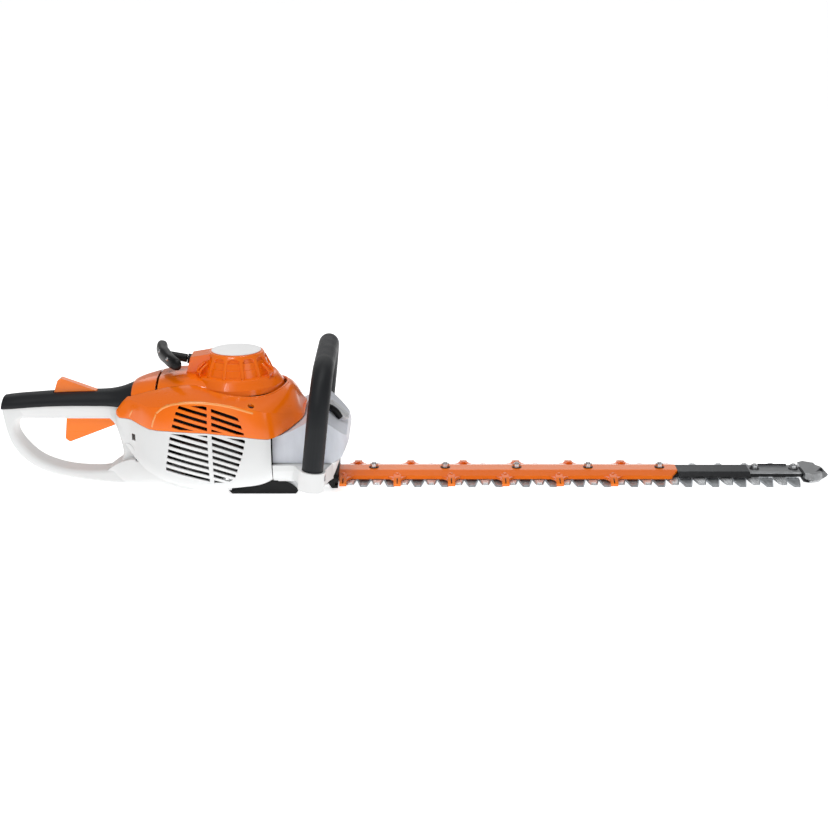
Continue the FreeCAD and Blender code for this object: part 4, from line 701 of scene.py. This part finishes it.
def starter_handle(hub, along):
    """The slanted pull handle with its neck and studs, at the end of the rope."""
    half_length, bow, tip_share = 46, 3.5, 0.14
    half_flat, half_tall = 7.2, 8.2
    aslant = Vector((33, -90, -6)).normalized()
    up = aslant.cross(along).normalized()
    if up.z < 0:
        up = -up

    def middle(t):
        """The bowed middle line of the handle, t from -1 to 1."""
        return hub + (aslant * half_length * t + along * bow * (1 - 2 * t * t)) * MM

    rings, around = 60, 28
    vertices, faces = [], []
    for i in range(rings + 1):
        t = 2 * i / rings - 1
        into_tip = max(abs(t) - (1 - tip_share), 0) / tip_share
        end = math.sqrt(max(1 - into_tip ** 2, 0.0)) + 0.02
        swell = 1 - 0.16 * t * t + 0.03 * math.cos(9 * t)
        for k in range(around):
            a = 2 * math.pi * k / around
            flat = math.copysign(abs(math.cos(a)) ** 0.8, math.cos(a)) * half_flat
            tall = math.copysign(abs(math.sin(a)) ** 0.8, math.sin(a)) * half_tall
            vertices.append(middle(t) + (along * flat + up * tall) * end * swell * MM)
    close_rings(faces, rings + 1, around, caps=True)
    handle = new_piece("starter_handle", vertices, faces, "black_plastic", "pull_grip")
    neck = [hub + along * d * MM for d in (0, -8, -16, -24.6)]
    tube("starter_handle_neck", neck, 5.2, "black_plastic", "pull_grip", around=20)
    for t, label in ((-0.06, "a"), (0.62, "b")):
        out = (along * 0.75 + Vector((0, -0.5, 0.45))).normalized()
        path = [middle(t) + out * d * MM for d in (5.0, 6.8, 7.6, 8.0)]
        tube(f"starter_handle_stud_{label}", path, 2.2, "zinc_steel", "pull_grip", around=14)
    return handle


def starter_cord():
    """The braided starter rope, which runs from the outlet into the grip."""
    low, high = (Vector(c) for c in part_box("starter_rope"))
    along = Vector(joint_called("starter_pull")["axis"]).normalized()
    centre = (low + high) / 2
    half = (high - low).length / 2 - 1 * MM
    start, end = centre - along * half, centre + along * half
    across = along.cross(SIDEWAYS).normalized()
    rings, around, radius = 96, 12, 1.7 * MM
    vertices, faces = [], []
    for i in range(rings + 1):
        hub = start.lerp(end, i / rings)
        for k in range(around):
            a = 2 * math.pi * k / around
            swell = radius * (1 - 0.05 * math.cos(4 * a + 0.9 * i))
            vertices.append(hub + (across * math.cos(a) + SIDEWAYS * math.sin(a)) * swell)
    close_rings(faces, rings + 1, around, caps=True)
    rope = new_piece("starter_cord", vertices, faces, "rope_fibre", body=None)
    return rope, start, end, along


# ---------------------------------------------------------------- studio
def area_light(name, place, aim, size, power):
    """A soft rectangular light that looks at a place."""
    lamp = bpy.data.lights.new(name, "AREA")
    lamp.shape = "RECTANGLE"
    lamp.size, lamp.size_y = size
    lamp.energy = power
    item = bpy.data.objects.new(name, lamp)
    bpy.context.scene.collection.objects.link(item)
    item.location = place
    item.rotation_euler = (Vector(aim) - Vector(place)).to_track_quat("-Z", "Y").to_euler()


def studio():
    """Pale floor that glows a little, soft lights and a white surround."""
    floor_size, floor_gap, floor_glow, surround = 80.0, 0.4 * MM, 0.72, 0.30
    low, high = CAD_BOX
    mid = Vector(((low[0] + high[0]) / 2, 0.0, 0.06))
    bpy.ops.mesh.primitive_plane_add(size=floor_size, location=(mid.x, 0.0, low[2] - floor_gap))
    floor = bpy.context.object
    floor.name = "studio_floor"
    s = Shader("studio_floor")
    s.set(Base_Color=(0.96, 0.96, 0.96, 1.0), Emission_Color=(1.0, 1.0, 1.0, 1.0),
          Emission_Strength=floor_glow, Roughness=s.band(s.noise(3.0), 0.3, 0.7, 0.6, 0.7))
    floor.data.materials.append(s.material)
    area_light("key", (mid.x - 0.8, -1.4, 1.9), mid, (0.8, 0.4), 11.0)
    area_light("fill", (mid.x + 1.4, -1.5, 0.8), mid, (0.7, 1.0), 3.0)
    area_light("top", (mid.x - 0.1, 0.1, 2.0), mid, (1.4, 0.25), 13.0)
    area_light("back", (mid.x - 0.2, 1.8, 1.0), mid, (2.0, 0.8), 4.0)
    world = bpy.data.worlds.new("studio")
    world.use_nodes = True
    background = world.node_tree.nodes["Background"]
    background.inputs["Color"].default_value = (1.0, 1.0, 1.0, 1.0)
    background.inputs["Strength"].default_value = surround
    bpy.context.scene.world = world
    bpy.context.scene.view_settings.view_transform = "Standard"


def camera():
    """Camera square to the near side, some 16 degrees above the floor and 2 m away."""
    aim = Vector((0.1825, 0.0, 0.088))
    distance, rise, focal_length = 2.0, math.radians(16.3), 69.57
    data = bpy.data.cameras.new("camera")
    data.lens = focal_length
    item = bpy.data.objects.new("camera", data)
    bpy.context.scene.collection.objects.link(item)
    item.location = aim + Vector((0.0, -math.cos(rise), math.sin(rise))) * distance
    item.rotation_euler = (aim - item.location).to_track_quat("-Z", "Y").to_euler()
    bpy.context.scene.camera = item


# ---------------------------------------------------------------- build
MATERIALS = make_materials()
camera()
dress_frame()
hood_ridges()
tail_seam()
collar_lip()
finger_notch_shades()
low_cap()
starter_basket()
starter_hooks()
slot_shade_sheets()
cord, cord_start, cord_end, cord_axis = starter_cord()
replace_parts(starter_handle(cord_end, cord_axis), "starter_grip")
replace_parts(cord, "starter_rope")
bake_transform(cord)
studio()
